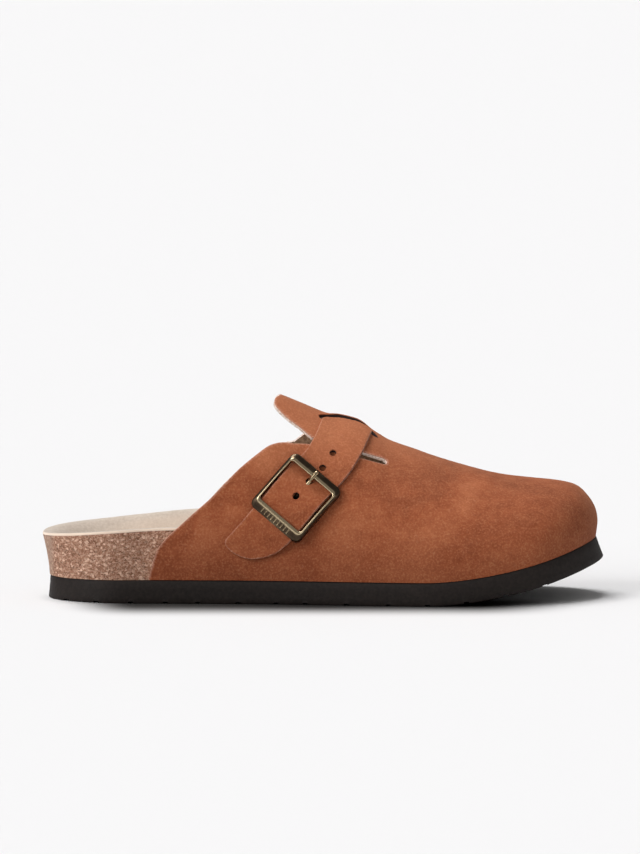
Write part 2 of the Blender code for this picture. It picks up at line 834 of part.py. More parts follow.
def strap_point(strap, at):
    """Return the flat point, run direction and sideways direction at an arc length."""
    path, arc, _ = strap
    flat = np.array([np.interp(at, arc, path[:, 0]), np.interp(at, arc, path[:, 1])])
    step = 0.002
    ahead = np.array([np.interp(at + step, arc, path[:, 0]), np.interp(at + step, arc, path[:, 1])])
    back = np.array([np.interp(at - step, arc, path[:, 0]), np.interp(at - step, arc, path[:, 1])])
    run = skin(*ahead) - skin(*back)
    run /= np.linalg.norm(run)
    _, _, normal = skin_slopes(*flat)
    return flat, run, np.cross(normal, run)


def ease(value, low, high):
    """Return a smooth share of the way from low to high."""
    share = min(1.0, max(0.0, (value - low) / (high - low)))
    return share * share * (3 - 2 * share)


def strap_clearance(from_pin):
    """Height of the strap's underside over the upper, along the run from the pin to the free end."""
    if from_pin < 0:
        return GAP + (STRAP_LIFT - GAP) * ease(from_pin, -HUMP_UP, -HUMP_CREST)
    over_tongue = TONGUE_TOP + GAP
    if from_pin < HUMP_DOWN:
        return STRAP_LIFT + (over_tongue - STRAP_LIFT) * ease(from_pin, HUMP_CREST, HUMP_DOWN)
    return over_tongue + (GAP - over_tongue) * ease(from_pin, TAB_LENGTH + GAP, TAB_LENGTH + TONGUE_RAMP)


def pin_arc(strap):
    """Return the arc length at the buckle's pin."""
    _, arc, ridge = strap
    return ridge + PIN_PLACE * (arc[-1] - ridge)


def strap_depth(flat, from_pin):
    """Height of the strap's underside at a flat point: it dives through the slot to the inside."""
    slot = flat_path(SLOT)
    middle = float(np.interp(flat[0], slot[:, 0], slot[:, 1]))
    side = "lateral" if flat[1] < 0 else "medial"
    from_slot = (flat[1] - middle) * section(flat[0], side)[3]
    inside = -(WALL + TUCK_FIT + STRAP_THICKNESS)
    share = min(1.0, max(0.0, from_slot / (SLOT_WIDTH - 4 * GAP) + 0.5))
    return strap_clearance(from_pin) * (1 - share) + inside * share


def band(strap, starts, half_width, low, high, samples=6, tip=None):
    """Return a bmesh band laid along the strap's line.

    starts are arc lengths from the pin. low and high map a flat point and an arc length to the heights of
    the under and upper faces over the skin. tip maps an arc length and a place across to the arc length
    that it takes, which shapes the free end.
    """
    bm = bmesh.new()
    pin = pin_arc(strap)
    rings = []
    for start in starts:
        under = []
        over = []
        for k in range(samples + 1):
            across = 2 * k / samples - 1
            from_pin = tip(start, across) if tip else start
            flat, _, sideways = strap_point(strap, pin + from_pin)
            spot = shifted(flat, sideways * half_width * across)
            base = skin(*spot)
            _, _, normal = skin_slopes(*spot)
            under.append(place(base + normal * low(spot, from_pin)))
            over.append(place(base + normal * high(spot, from_pin)))
        rings.append([bm.verts.new(point) for point in under + over[::-1]])
    for near, far in zip(rings, rings[1:]):
        count = len(near)
        for i in range(count):
            j = (i + 1) % count
            bm.faces.new((near[i], near[j], far[j], far[i]))
    bm.faces.new(rings[0])
    bm.faces.new(rings[-1])
    return bm


def buckle_axes(strap):
    """Return the buckle's local axes and bend: origin on the skin under the pin, run, sideways, normal."""
    pin = pin_arc(strap)
    flat, run, _ = strap_point(strap, pin)
    origin = skin(*flat)
    _, _, normal = skin_slopes(*flat)
    run = run - normal * float(run @ normal)
    run /= np.linalg.norm(run)
    sideways = np.cross(normal, run)
    reach = WINDOW_LENGTH / 2
    drops = []
    for end in (-reach, reach):
        far, _, _ = strap_point(strap, pin + end)
        drops.append(float((skin(*far) - origin) @ normal))
    bend = sum(drops) / 2 / reach ** 2
    return origin, run, sideways, normal, bend


def buckle_spot(axes, along, across, height):
    """Return a place in the buckle's bent local space."""
    origin, run, sideways, normal, bend = axes
    point = origin + run * along + sideways * across + normal * (height + bend * along * along)
    return place(point)


def rounded_rectangle(low, high, half, radius, corner_steps=4):
    """Return the points (along, across) of a rectangle with round corners."""
    points = []
    corners = ((high - radius, half - radius, 0), (low + radius, half - radius, 90),
               (low + radius, radius - half, 180), (high - radius, radius - half, 270))
    for along, across, start in corners:
        for k in range(corner_steps + 1):
            angle = math.radians(start + 90 * k / corner_steps)
            points.append((along + radius * math.cos(angle), across + radius * math.sin(angle)))
    return points


def tube(name, points, radius, collection, made):
    """Return a round bar along a smooth path as a closed mesh."""
    curve = bpy.data.curves.new(name, "CURVE")
    curve.dimensions = "3D"
    curve.bevel_depth = radius
    curve.bevel_resolution = 2
    curve.use_fill_caps = True
    line = curve.splines.new("POLY")
    line.points.add(len(points) - 1)
    for spot, point in zip(line.points, points):
        spot.co = (*point, 1)
    drawn = bpy.data.objects.new(name + "_line", curve)
    collection.objects.link(drawn)
    bpy.context.view_layer.update()
    depsgraph = bpy.context.evaluated_depsgraph_get()
    mesh = bpy.data.meshes.new_from_object(drawn.evaluated_get(depsgraph))
    bm = bmesh.new()
    bm.from_mesh(mesh)
    bpy.data.objects.remove(drawn, do_unlink=True)
    bpy.data.meshes.remove(mesh)
    return finish(bm, name, collection, made)


def eye(name, axes, half, inner, outer, collection, made, steps=16):
    """Return a ring around the pin, half wide each way."""
    bm = bmesh.new()
    loops = []
    for radius, across in ((inner, -half), (inner, half), (outer, half), (outer, -half)):
        loop = []
        for k in range(steps):
            angle = 2 * math.pi * k / steps
            along = radius * math.cos(angle)
            loop.append(bm.verts.new(buckle_spot(axes, along, across, PIN_HEIGHT + radius * math.sin(angle))))
        loops.append(loop)
    for near, far in zip(loops, loops[1:] + loops[:1]):
        for i in range(steps):
            j = (i + 1) % steps
            bm.faces.new((near[i], near[j], far[j], far[i]))
    return finish(bm, name, collection, made)


def prong_path(axes, longer=0.0):
    """Return the prong's middle line, from the pin's eye through the strap's hole onto the upper bar."""
    half = WINDOW_LENGTH / 2
    rest = FRAME_TOP - PRONG_DIAMETER * 0.25
    crest = PIN_HEIGHT + PIN_DIAMETER / 2 + GAP + PRONG_DIAMETER / 2
    knots = ((0.0, PIN_HEIGHT + PIN_DIAMETER / 2 + GAP + PRONG_DIAMETER * 0.3),
             (-half * 0.24, crest * 0.86), (-half * 0.49, crest * 0.92), (-HOLE_PITCH, (crest + rest) / 2),
             (-half + GAP, rest * 0.99), (-half - BAR_UPPER * 0.5, rest + PRONG_DIAMETER * 0.12),
             (-half - BAR_UPPER * 0.9 - longer, rest))
    arc = np.concatenate(([0], np.cumsum([math.dist(a, b) for a, b in zip(knots, knots[1:])])))
    at = np.linspace(0, arc[-1], 16)
    along = spline(arc, [knot[0] for knot in knots], at)
    height = spline(arc, [knot[1] for knot in knots], at)
    return [buckle_spot(axes, float(a), 0, float(h)) for a, h in zip(along, height)]


def build_strap(strap, axes, collection, cutters, made):
    """Suede strap from inside the medial wall, out through the slot and down to its round free end."""
    _, arc, ridge = strap
    pin = pin_arc(strap)
    end = arc[-1] - pin
    start = -pin
    tip_start = end - STRAP_WIDTH * float(STRAP_TIP["drop"][-1])

    def end_reach(from_pin, across):
        """Arc length near the free end, drawn in to the oblique round tip."""
        if from_pin <= tip_start:
            return from_pin
        longest = end - STRAP_WIDTH * float(np.interp(across, STRAP_TIP["across"], STRAP_TIP["drop"]))
        return tip_start + (longest - tip_start) * (from_pin - tip_start) / (end - tip_start)

    dive = (ridge - pin - SLOT_WIDTH / 2, ridge - pin + 2 * SLOT_WIDTH)
    body = list(np.linspace(start, dive[0], 10)) + list(np.linspace(*dive, 22))[1:]
    body += list(np.linspace(dive[1], tip_start, 24))[1:]
    body += list(np.linspace(tip_start, end, 7))[1:]
    bm = band(strap, body, STRAP_WIDTH / 2, strap_depth,
              lambda flat, from_pin: strap_depth(flat, from_pin) + STRAP_THICKNESS, 8, end_reach)
    obj = finish(bm, "strap", collection, made)
    for index in range(HOLE_COUNT):
        from_pin = -HOLE_PITCH * (HOLE_COUNT - 1 - index)
        flat, _, _ = strap_point(strap, pin + from_pin)
        _, _, normal = skin_slopes(*flat)
        low = skin(*flat) + normal * (strap_clearance(from_pin) - STRAP_THICKNESS * 0.4)
        high = skin(*flat) + normal * (strap_clearance(from_pin) + STRAP_THICKNESS * 2)
        punch = tube(f"hole_cutter_{index}", [place(low), place(high)], HOLE_DIAMETER / 2, cutters, None)
        as_cutter(punch)
        boolean(obj, punch)
    room = tube("prong_room", prong_path(axes), PRONG_DIAMETER / 2 + GAP, cutters, None)
    as_cutter(room)
    boolean(obj, room)
    bake(obj)
    return obj


def build_frame(strap, axes, collection, cutters, made):
    """Square buckle frame, bent with the strap, with its pivot pin; the bars bridge the strap."""
    half_window = WINDOW_LENGTH / 2
    half_inner = STRAP_WIDTH / 2 + FRAME_CLEARANCE
    corners = rounded_rectangle(-half_window, half_window, half_inner, FRAME_CORNER / 2)
    low = -half_window - BAR_UPPER
    high = half_window + BAR_LOWER
    half_outer = half_inner + BAR_SIDE + FRAME_RIM

    def outline(points):
        """Divide an outline's long sides as the window's sides are divided."""
        dense = []
        for n, (here, there) in enumerate(zip(points, points[1:] + points[:1])):
            parts = max(1, math.ceil(math.dist(corners[n], corners[(n + 1) % len(corners)]) / FRAME_STEP))
            dense += [(here[0] + (there[0] - here[0]) * k / parts, here[1] + (there[1] - here[1]) * k / parts)
                      for k in range(parts)]
        return dense

    def grown(amount):
        """Window outline grown by an amount."""
        return outline(rounded_rectangle(-half_window - amount, half_window + amount, half_inner + amount,
                                         FRAME_CORNER / 2 + amount))

    def shoulder(along):
        """Height of the outer edge, lower where the bars slope away."""
        drop = np.interp(along, (-half_window, -half_window / 2, half_window / 2, half_window),
                         (UPPER_DROP, SIDE_DROP, SIDE_DROP, LOWER_DROP))
        return FRAME_TOP - float(drop)

    window = outline(corners)
    outer = outline(rounded_rectangle(low, high, half_outer, FRAME_CORNER))
    rings = [[(a, b, FRAME_BASE) for a, b in window],
             [(a, b, FRAME_TOP - FRAME_RIM / 3) for a, b in window],
             [(a, b, FRAME_TOP) for a, b in grown(FRAME_RIM / 3)],
             [(a, b, FRAME_TOP - FRAME_RIM / 8) for a, b in grown(FRAME_RIM)],
             [(a, b, shoulder(a)) for a, b in outer],
             [(a, b, FRAME_BASE) for a, b in outer]]
    bm = bmesh.new()
    loops = [[bm.verts.new(buckle_spot(axes, *spot)) for spot in ring] for ring in rings]
    for near, far in zip(loops, loops[1:] + loops[:1]):
        count = len(near)
        for i in range(count):
            j = (i + 1) % count
            bm.faces.new((near[i], near[j], far[j], far[i]))
    obj = finish(bm, "buckle_frame", collection, made)
    reach = half_window + max(BAR_UPPER, BAR_LOWER) + 2 * STRAP_THICKNESS
    channel = band(strap, np.linspace(-reach, reach, 22), STRAP_WIDTH / 2 + GAP,
                   lambda flat, from_pin: -STRAP_THICKNESS * 2,
                   lambda flat, from_pin: strap_depth(flat, from_pin) + STRAP_THICKNESS + GAP)
    cutter = finish(channel, "strap_room", cutters, None)
    as_cutter(cutter)
    boolean(obj, cutter)
    notch = tube("prong_notch", prong_path(axes, BAR_UPPER), PRONG_DIAMETER / 2 + GAP, cutters, None)
    as_cutter(notch)
    boolean(obj, notch)
    bake(obj)
    ends = half_inner + (BAR_SIDE + FRAME_RIM) / 2
    line = [buckle_spot(axes, 0, across, PIN_HEIGHT) for across in (-ends, ends)]
    pin = tube("pin_bar", line, PIN_DIAMETER / 2, cutters, None)
    as_cutter(pin)
    boolean(obj, pin, "UNION")
    bake(obj)
    return obj


def build_prong(axes, collection, cutters, made):
    """Prong: a bent round bar with an eye on the pin."""
    radius = PRONG_DIAMETER / 2
    inner = PIN_DIAMETER / 2 + GAP
    obj = eye("buckle_prong", axes, radius, inner, EYE_RADIUS, collection, made)
    bar = tube("prong_bar", prong_path(axes), radius, cutters, None)
    as_cutter(bar)
    boolean(obj, bar, "UNION")
    clear = tube("prong_pin_room", [buckle_spot(axes, 0, across, PIN_HEIGHT) for across in (-EYE_RADIUS, EYE_RADIUS)],
                 inner, cutters, None)
    as_cutter(clear)
    boolean(obj, clear)
    bake(obj)
    return obj


def build_loop(strap, axes, collection, cutters, made):
    """Leather tab sewn on the upper under the strap, wrapped around the pin and split for the prong."""
    inner = PIN_DIAMETER / 2 + GAP
    obj = eye("buckle_loop", axes, TAB_WIDTH / 2, inner, EYE_RADIUS, collection, made)
    stations = np.linspace(inner + TAB_THICKNESS / 2, TAB_LENGTH, 10)
    tongue = band(strap, stations, TAB_WIDTH / 2, lambda flat, from_pin: GAP,
                  lambda flat, from_pin: TONGUE_TOP)
    tail = finish(tongue, "tongue_body", cutters, None)
    as_cutter(tail)
    boolean(obj, tail, "UNION")
    clear = tube("loop_pin_room", [buckle_spot(axes, 0, across, PIN_HEIGHT) for across in (-TAB_WIDTH, TAB_WIDTH)],
                 inner, cutters, None)
    as_cutter(clear)
    boolean(obj, clear)
    bm = bmesh.new()
    bmesh.ops.create_cube(bm, size=1)
    width = PRONG_DIAMETER + 2 * GAP
    size = 3 * EYE_RADIUS
    for vert in bm.verts:
        x, y, z = vert.co
        vert.co = buckle_spot(axes, x * size, y * width, PIN_HEIGHT + z * size)
    split = finish(bm, "prong_split", cutters, None)
    as_cutter(split)
    boolean(obj, split)
    bake(obj)
    return obj


def main():
    """Build the shoe."""
    for obj in list(bpy.data.objects):
        bpy.data.objects.remove(obj, do_unlink=True)
    collection = bpy.data.collections.new("clog_slipper")
    cutters = bpy.data.collections.new("cutters")
    bpy.context.scene.collection.children.link(collection)
    bpy.context.scene.collection.children.link(cutters)
    build_outsole(collection, cutters, material("outsole_foam", FOAM, 0.75))
    build_footbed(collection, material("footbed_cork", CORK, 0.9))
    build_insole(collection, material("insole_suede", LINING, 0.95))
    build_upper(collection, cutters, material("upper_suede", SUEDE, 0.95))
    strap = strap_path()
    axes = buckle_axes(strap)
    metal = material("buckle_brass", BRASS, 0.35, 1.0)
    suede = material("strap_suede", SUEDE_STRAP, 0.95)
    build_strap(strap, axes, collection, cutters, suede)
    build_frame(strap, axes, collection, cutters, metal)
    build_prong(axes, collection, cutters, metal)
    build_loop(strap, axes, collection, cutters, suede)


main()
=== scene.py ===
"""Looks of the right clog slipper: brushed suede upper with an instep flap, buckled suede strap, cork footbed
with a suede lining, and a foam rubber outsole. Metres, toe to +X, outer side to -Y, up +Z."""

import logging
import math
from collections.abc import Callable
from dataclasses import dataclass, field
from enum import Enum

import bmesh
import bpy
import numpy as np
from bmesh.types import BMEdge, BMesh, BMVert
from bpy.types import Material, Node, NodeTree, Object
from bpy.types import NodeSocket as Socket
from mathutils import Matrix, Vector, kdtree
from mathutils.geometry import delaunay_2d_cdt


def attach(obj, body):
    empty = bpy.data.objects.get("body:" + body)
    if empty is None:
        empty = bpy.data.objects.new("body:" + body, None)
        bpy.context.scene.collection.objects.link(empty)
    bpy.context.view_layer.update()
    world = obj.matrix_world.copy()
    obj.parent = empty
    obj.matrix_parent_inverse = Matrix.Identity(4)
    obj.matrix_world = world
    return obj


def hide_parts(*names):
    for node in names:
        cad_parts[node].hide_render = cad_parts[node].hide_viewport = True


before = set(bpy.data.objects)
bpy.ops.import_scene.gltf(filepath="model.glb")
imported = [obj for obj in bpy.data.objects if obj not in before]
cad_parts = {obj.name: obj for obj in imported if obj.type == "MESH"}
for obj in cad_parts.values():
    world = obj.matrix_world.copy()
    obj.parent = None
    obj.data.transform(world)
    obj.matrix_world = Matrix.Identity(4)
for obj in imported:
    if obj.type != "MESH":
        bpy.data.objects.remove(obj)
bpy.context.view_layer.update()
LOG = logging.getLogger("clog_slipper")
MM = 0.001
GIRTH_LENGTH = 0.1
BLACK, WHITE = "000000", "FFFFFF"


class Side(Enum):
    """Outer and inner side of the shoe, named as in the columns of the tables."""

    LATERAL = "lateral"
    MEDIAL = "medial"

    @property
    def sign(self) -> int:
        """Return the sign of Y and of the girth on this side."""
        return -1 if self is Side.LATERAL else 1


# An inset reads station shares and a side. A height reads x, station shares, a side and the share of the way
# out from the middle line. A test reads flat points.
Inset = Callable[[np.ndarray, Side], np.ndarray]
Height = Callable[[np.ndarray, np.ndarray, Side, float], np.ndarray]
Test = Callable[[np.ndarray], np.ndarray]
Materials = tuple[Material, ...]


def table(columns: tuple[str, ...], *rows: tuple[float, ...]) -> dict[str, np.ndarray]:
    """Return named columns from rows of numbers.

    Args:
        columns: names of the columns.
        rows: rows of numbers, one for each section.

    Returns:
        A dict of arrays.
    """
    return dict(zip(columns, np.array(rows, dtype=float).T))


# Plan outline of the sole. Station: share of its length. Lateral, medial: shares of the ball width.
# Lean: how far the upper edge stands in, as a share of the sole's thickness.
OUTLINE = table(
    ("station", "lateral", "medial", "lean"),
    (0.000, 0.000, 0.000, 0.09), (0.037, -0.235, 0.230, 0.08), (0.131, -0.345, 0.340, 0.05),
    (0.224, -0.357, 0.345, 0.05), (0.337, -0.372, 0.330, 0.05), (0.449, -0.406, 0.340, 0.05),
    (0.561, -0.457, 0.391, 0.05), (0.673, -0.496, 0.462, 0.05), (0.748, -0.500, 0.495, 0.05),
    (0.823, -0.476, 0.500, 0.06), (0.898, -0.396, 0.462, 0.12), (0.954, -0.245, 0.371, 0.22),
    (1.000, 0.089, 0.089, 0.33),
)

# Footbed: rims and floor as shares of the bed's rise, and how far the upper's wall covers the cork.
BED = table(
    ("station", "lateral_rim", "medial_rim", "floor", "cover"),
    (0.000, 0.82, 0.82, 0.40, 0.00), (0.045, 0.88, 0.89, 0.40, 0.04), (0.131, 0.96, 0.98, 0.41, 0.45),
    (0.190, 0.99, 1.06, 0.44, 0.96), (0.224, 1.00, 1.10, 0.46, 1.00), (0.330, 0.94, 1.14, 0.55, 1.00),
    (0.449, 0.74, 0.92, 0.52, 1.00), (0.561, 0.56, 0.64, 0.42, 1.00), (0.711, 0.46, 0.48, 0.34, 1.00),
    (0.860, 0.40, 0.40, 0.28, 1.00), (0.954, 0.32, 0.32, 0.24, 1.00), (1.000, 0.24, 0.24, 0.20, 1.00),
)

# The last: ridge rise as a share of the flap's rise, ridge side as a share of the ball width, and the
# handle lengths of a half-section's curve as shares of its height and width.
LAST = table(
    ("station", "ridge_rise", "ridge_side", "side", "top"),
    (0.100, 1.120, 0.000, 0.50, 0.62), (0.304, 1.080, 0.005, 0.50, 0.62), (0.426, 1.013, 0.015, 0.48, 0.62),
    (0.469, 0.958, 0.020, 0.48, 0.62), (0.507, 0.908, 0.025, 0.48, 0.61), (0.545, 0.878, 0.028, 0.48, 0.60),
    (0.575, 0.845, 0.032, 0.48, 0.58), (0.598, 0.800, 0.036, 0.49, 0.57), (0.624, 0.752, 0.040, 0.50, 0.56),
    (0.674, 0.697, 0.046, 0.51, 0.55), (0.731, 0.628, 0.054, 0.53, 0.55), (0.792, 0.549, 0.063, 0.55, 0.56),
    (0.832, 0.499, 0.069, 0.56, 0.58), (0.883, 0.443, 0.076, 0.58, 0.60), (0.934, 0.382, 0.083, 0.60, 0.62),
    (0.968, 0.308, 0.087, 0.60, 0.62), (0.984, 0.228, 0.088, 0.60, 0.62), (1.000, 0.058, 0.089, 0.60, 0.62),
)

# Collar seen from the side: station as a share of the sole's length, rise as a share of the flap's rise.
COLLAR_LATERAL = table(
    ("station", "rise"),
    (0.181, -0.010), (0.188, 0.078), (0.195, 0.152), (0.205, 0.206), (0.218, 0.252), (0.238, 0.308),
    (0.263, 0.380), (0.288, 0.448), (0.308, 0.511), (0.329, 0.579), (0.349, 0.640), (0.370, 0.693),
    (0.391, 0.742), (0.411, 0.768), (0.428, 0.771), (0.443, 0.765),
)
COLLAR_MEDIAL = table(
    ("station", "rise"),
    (0.214, -0.010), (0.232, 0.120), (0.255, 0.250), (0.282, 0.360), (0.312, 0.470), (0.345, 0.570),
    (0.380, 0.655), (0.418, 0.715), (0.443, 0.735),
)

# Half of the instep flap, from its root to the middle of its tip. Girth: share of the half-girth, from 0 on
# the ridge to -1 on the outer and 1 on the inner feather line.
FLAP = table(
    ("station", "girth"),
    (0.474, 0.277), (0.464, 0.259), (0.452, 0.236), (0.438, 0.215), (0.428, 0.197), (0.416, 0.168),
    (0.409, 0.142), (0.407, 0.115), (0.4095, 0.075), (0.415, 0.035), (0.418, 0.000),
)
# Middle lines of the slit, of the strap's crescent slot, and of the strap inside and outside the shoe.
SLIT = table(("station", "rise"), (0.472, 0.778), (0.500, 0.752), (0.545, 0.713), (0.602, 0.662))
SLOT = table(
    ("station", "girth"),
    (0.489, -0.118), (0.498, -0.093), (0.521, -0.069), (0.550, -0.062), (0.576, -0.074), (0.592, -0.110),
)
STRAP_INSIDE = table(
    ("station", "girth"), (0.554, 0.300), (0.551, 0.200), (0.547, 0.100), (0.543, 0.000),
)
STRAP_OUTSIDE = table(
    ("station", "rise"),
    (0.535, 0.848), (0.525, 0.780), (0.514, 0.712), (0.495, 0.628), (0.473, 0.556), (0.452, 0.482),
    (0.402, 0.309), (0.347, 0.119),
)
# Round free end of the strap: across as a share of its half width, drop as a share of its width.
STRAP_TIP = table(
    ("across", "drop"),
    (-1.00, 0.10), (-0.90, 0.03), (-0.50, 0.00), (0.00, 0.07), (0.33, 0.18), (0.60, 0.34), (0.82, 0.52),
    (0.94, 0.70), (1.00, 0.90),
)

# Soft troughs (minus) and ridges (plus) of the worn-in leather: station and girth of the middle, half
# lengths along and across as shares, turn in degrees, and height in millimetres.
CREASES = table(
    ("station", "girth", "along", "across", "turn", "height"),
    (0.735, -0.30, 0.050, 0.10, 20, -0.50),
    (0.700, -0.16, 0.060, 0.07, 35, 0.40),
    (0.790, -0.22, 0.030, 0.16, 10, 0.45),
    (0.845, -0.36, 0.028, 0.14, -12, -0.55),
    (0.620, -0.42, 0.040, 0.12, 30, -0.45),
    (0.560, -0.62, 0.045, 0.10, 15, 0.35),
    (0.660, -0.66, 0.050, 0.12, -10, -0.40),
    (0.420, -0.55, 0.030, 0.16, 25, 0.35),
    (0.330, -0.62, 0.026, 0.14, 40, -0.35),
    (0.760, 0.28, 0.050, 0.12, -20, -0.50),
    (0.680, 0.44, 0.050, 0.12, 15, 0.45),
    (0.560, 0.52, 0.040, 0.14, -25, -0.45),
    (0.860, 0.30, 0.030, 0.16, 10, 0.40),
)

# Stations of the long grooves across the tread.
GROOVES = (0.035, 0.088, 0.150, 0.212, 0.270, 0.342, 0.410, 0.462, 0.535, 0.610, 0.680, 0.750, 0.820, 0.890)


def spline(stations: np.ndarray, values: np.ndarray, at: np.ndarray) -> np.ndarray:
    """Evaluate a smooth curve through rising stations, with Akima slopes so that flat runs stay flat.

    Args:
        stations: rising positions.
        values: value at each position.
        at: positions to read.

    Returns:
        The values there.
    """
    x = np.asarray(stations, dtype=float)
    y = np.asarray(values, dtype=float)
    at = np.clip(np.asarray(at, dtype=float), x[0], x[-1])
    steps = np.diff(y) / np.diff(x)
    first = 2 * steps[0] - steps[1]
    last = 2 * steps[-1] - steps[-2]
    padded = np.concatenate(([2 * first - steps[0], first], steps, [last, 2 * last - steps[-1]]))
    before = np.abs(padded[3:] - padded[2:-1])
    after = np.abs(padded[1:-2] - padded[:-3])
    total = before + after
    even = total < 1e-9
    total[even] = 1.0
    slope = (before * padded[1:-2] + after * padded[2:-1]) / total
    slope[even] = 0.5 * (padded[1:-2] + padded[2:-1])[even]
    cell = np.clip(np.searchsorted(x, at, side="right") - 1, 0, len(x) - 2)
    width = x[cell + 1] - x[cell]
    t = (at - x[cell]) / width
    near = y[cell] * (1 + 2 * t) * (1 - t) ** 2 + slope[cell] * width * t * (1 - t) ** 2
    return near + y[cell + 1] * t * t * (3 - 2 * t) + slope[cell + 1] * width * t * t * (t - 1)


def turn(share: np.ndarray) -> np.ndarray:
    """Return the angle share of a station, which spreads the rounded ends of an outline."""
    return np.arccos(1 - 2 * np.clip(share, 0, 1)) / math.pi


def station_of(turned: np.ndarray) -> np.ndarray:
    """Return the station share of an angle share."""
    return (1 - np.cos(math.pi * np.asarray(turned))) / 2


def read(rows: dict[str, np.ndarray], name: str, station: np.ndarray) -> np.ndarray:
    """Read a column of a table at station shares, smooth in the turned station."""
    return spline(turn(rows["station"]), rows[name], turn(station))


def ease(value: np.ndarray, low: float, high: float) -> np.ndarray:
    """Return a smooth share of the way from low to high."""
    share = np.clip((np.asarray(value, dtype=float) - low) / (high - low), 0, 1)
    return share * share * (3 - 2 * share)


def even_path(points: np.ndarray, count: int) -> np.ndarray:
    """Spread points evenly on a smooth curve through a flat path.

    Args:
        points: flat points (metres, girth); a girth of 1 counts as 100 mm.
        count: number of points.

    Returns:
        The points.
    """
    arc = np.concatenate(([0], np.cumsum(np.hypot(np.diff(points[:, 0]) / GIRTH_LENGTH,
                                                   np.diff(points[:, 1])))))
    at = np.linspace(0, arc[-1], count)
    return np.stack([spline(arc, points[:, 0], at), spline(arc, points[:, 1], at)], axis=1)


def inside(points: np.ndarray, loop: np.ndarray) -> np.ndarray:
    """Tell which flat points lie inside a closed loop.

    Args:
        points: array of flat points.
        loop: array of the loop's points.

    Returns:
        A boolean for each point.
    """
    x, y = points[:, 0], points[:, 1]
    hit = np.zeros(len(points), dtype=bool)
    for (ax, ay), (bx, by) in zip(loop, np.roll(loop, -1, axis=0)):
        if ay == by:
            continue
        crosses = (ay > y) != (by > y)
        hit ^= crosses & (x < ax + (y - ay) / (by - ay) * (bx - ax))
    return hit


def linear(code: str) -> tuple[float, float, float, float]:
    """Turn an sRGB hex colour into linear RGBA.

    Args:
        code: six hex digits.

    Returns:
        Linear red, green, blue and alpha.
    """
    parts = [int(code[i:i + 2], 16) / 255 for i in (0, 2, 4)]
    red, green, blue = (v / 12.92 if v <= 0.04045 else ((v + 0.055) / 1.055) ** 2.4 for v in parts)
    return red, green, blue, 1.0


def add_node(tree: NodeTree, kind: str, values: dict | None = None, **settings: object) -> Node:
    """Add a shader node with its settings, values and links.

    Args:
        tree: node tree of the material.
        kind: Blender's name of the node type.
        values: input name or index to a value, or to an output socket that is linked in.
        settings: attributes of the node.

    Returns:
        The node.
    """
    node = tree.nodes.new(kind)
    for name, value in settings.items():
        setattr(node, name, value)
    for name, value in (values or {}).items():
        if isinstance(value, Socket):
            tree.links.new(value, node.inputs[name])
        else:
            node.inputs[name].default_value = value
    return node


def ramp(tree: NodeTree, fac: Socket, *stops: tuple[float, str]) -> Socket:
    """Add a colour ramp.

    Args:
        tree: node tree of the material.
        fac: value that picks the colour.
        stops: place and sRGB hex colour of each stop.

    Returns:
        Its colour output.
    """
    node = add_node(tree, "ShaderNodeValToRGB", {"Fac": fac})
    elements = node.color_ramp.elements
    while len(elements) < len(stops):
        elements.new(0.5)
    for element, (place, code) in zip(elements, stops):
        element.position = place
        element.color = linear(code)
    return node.outputs["Color"]


def principled(name: str, roughness: float, metallic: float = 0.0,
               **constants: float) -> tuple[Material, NodeTree, Node, Socket]:
    """Start a material with its shader, and give it constant values.

    Args:
        name: name of the material.
        roughness: roughness of the surface.
        metallic: 1 for bare metal.
        constants: further inputs, with _ for each space.

    Returns:
        The material, its node tree, its shader and the object coordinates.
    """
    made = bpy.data.materials.new(name)
    made.use_nodes = True
    tree = made.node_tree
    shader = tree.nodes["Principled BSDF"]
    shader.inputs["Roughness"].default_value = roughness
    shader.inputs["Metallic"].default_value = metallic
    for key, value in constants.items():
        shader.inputs[key.replace("_", " ")].default_value = value
    coordinates = add_node(tree, "ShaderNodeTexCoord").outputs["Object"]
    return made, tree, shader, coordinates


def noise(tree: NodeTree, vector: Socket, size: float, detail: float = 2.0, rough: float = 0.5,
          distortion: float = 0.0) -> Socket:
    """Add noise of a given size.

    Args:
        tree: node tree of the material.
        vector: coordinates.
        size: width of a patch in metres.
        detail: number of finer layers.
        rough: strength of the finer layers.
        distortion: how far the patches swirl.

    Returns:
        Its value.
    """
    patch_at_scale_one = 0.55
    node = add_node(tree, "ShaderNodeTexNoise",
                    {"Vector": vector, "Scale": patch_at_scale_one / size, "Detail": detail,
                     "Roughness": rough, "Distortion": distortion})
    return node.outputs["Fac"]


def mix(tree: NodeTree, fac: Socket | float, first: Socket | str | tuple,
        second: Socket | str | tuple) -> Socket:
    """Mix two colours, each a socket, an sRGB hex code or linear RGBA.

    Args:
        tree: node tree of the material.
        fac: share of the second colour.
        first: first colour.
        second: second colour.

    Returns:
        The mixed colour.
    """
    node = add_node(tree, "ShaderNodeMix", data_type="RGBA", blend_type="MIX")
    for index, value in ((0, fac), (6, first), (7, second)):
        if isinstance(value, Socket):
            tree.links.new(value, node.inputs[index])
        else:
            node.inputs[index].default_value = linear(value) if isinstance(value, str) else value
    return node.outputs[2]


def dress(tree: NodeTree, shader: Node, tone: Socket, *layers: tuple[Socket, float]) -> None:
    """Give the shader its colour and its stacked bump layers.

    Args:
        tree: node tree of the material.
        shader: the material's shader.
        tone: its colour.
        layers: height and depth in metres of each layer.
    """
    tree.links.new(tone, shader.inputs["Base Color"])
    normal = None
    for height, depth in layers:
        values = {"Height": height, "Distance": depth, "Strength": 1.0}
        if normal:
            values["Normal"] = normal
        normal = add_node(tree, "ShaderNodeBump", values).outputs["Normal"]
    tree.links.new(normal, shader.inputs["Normal"])


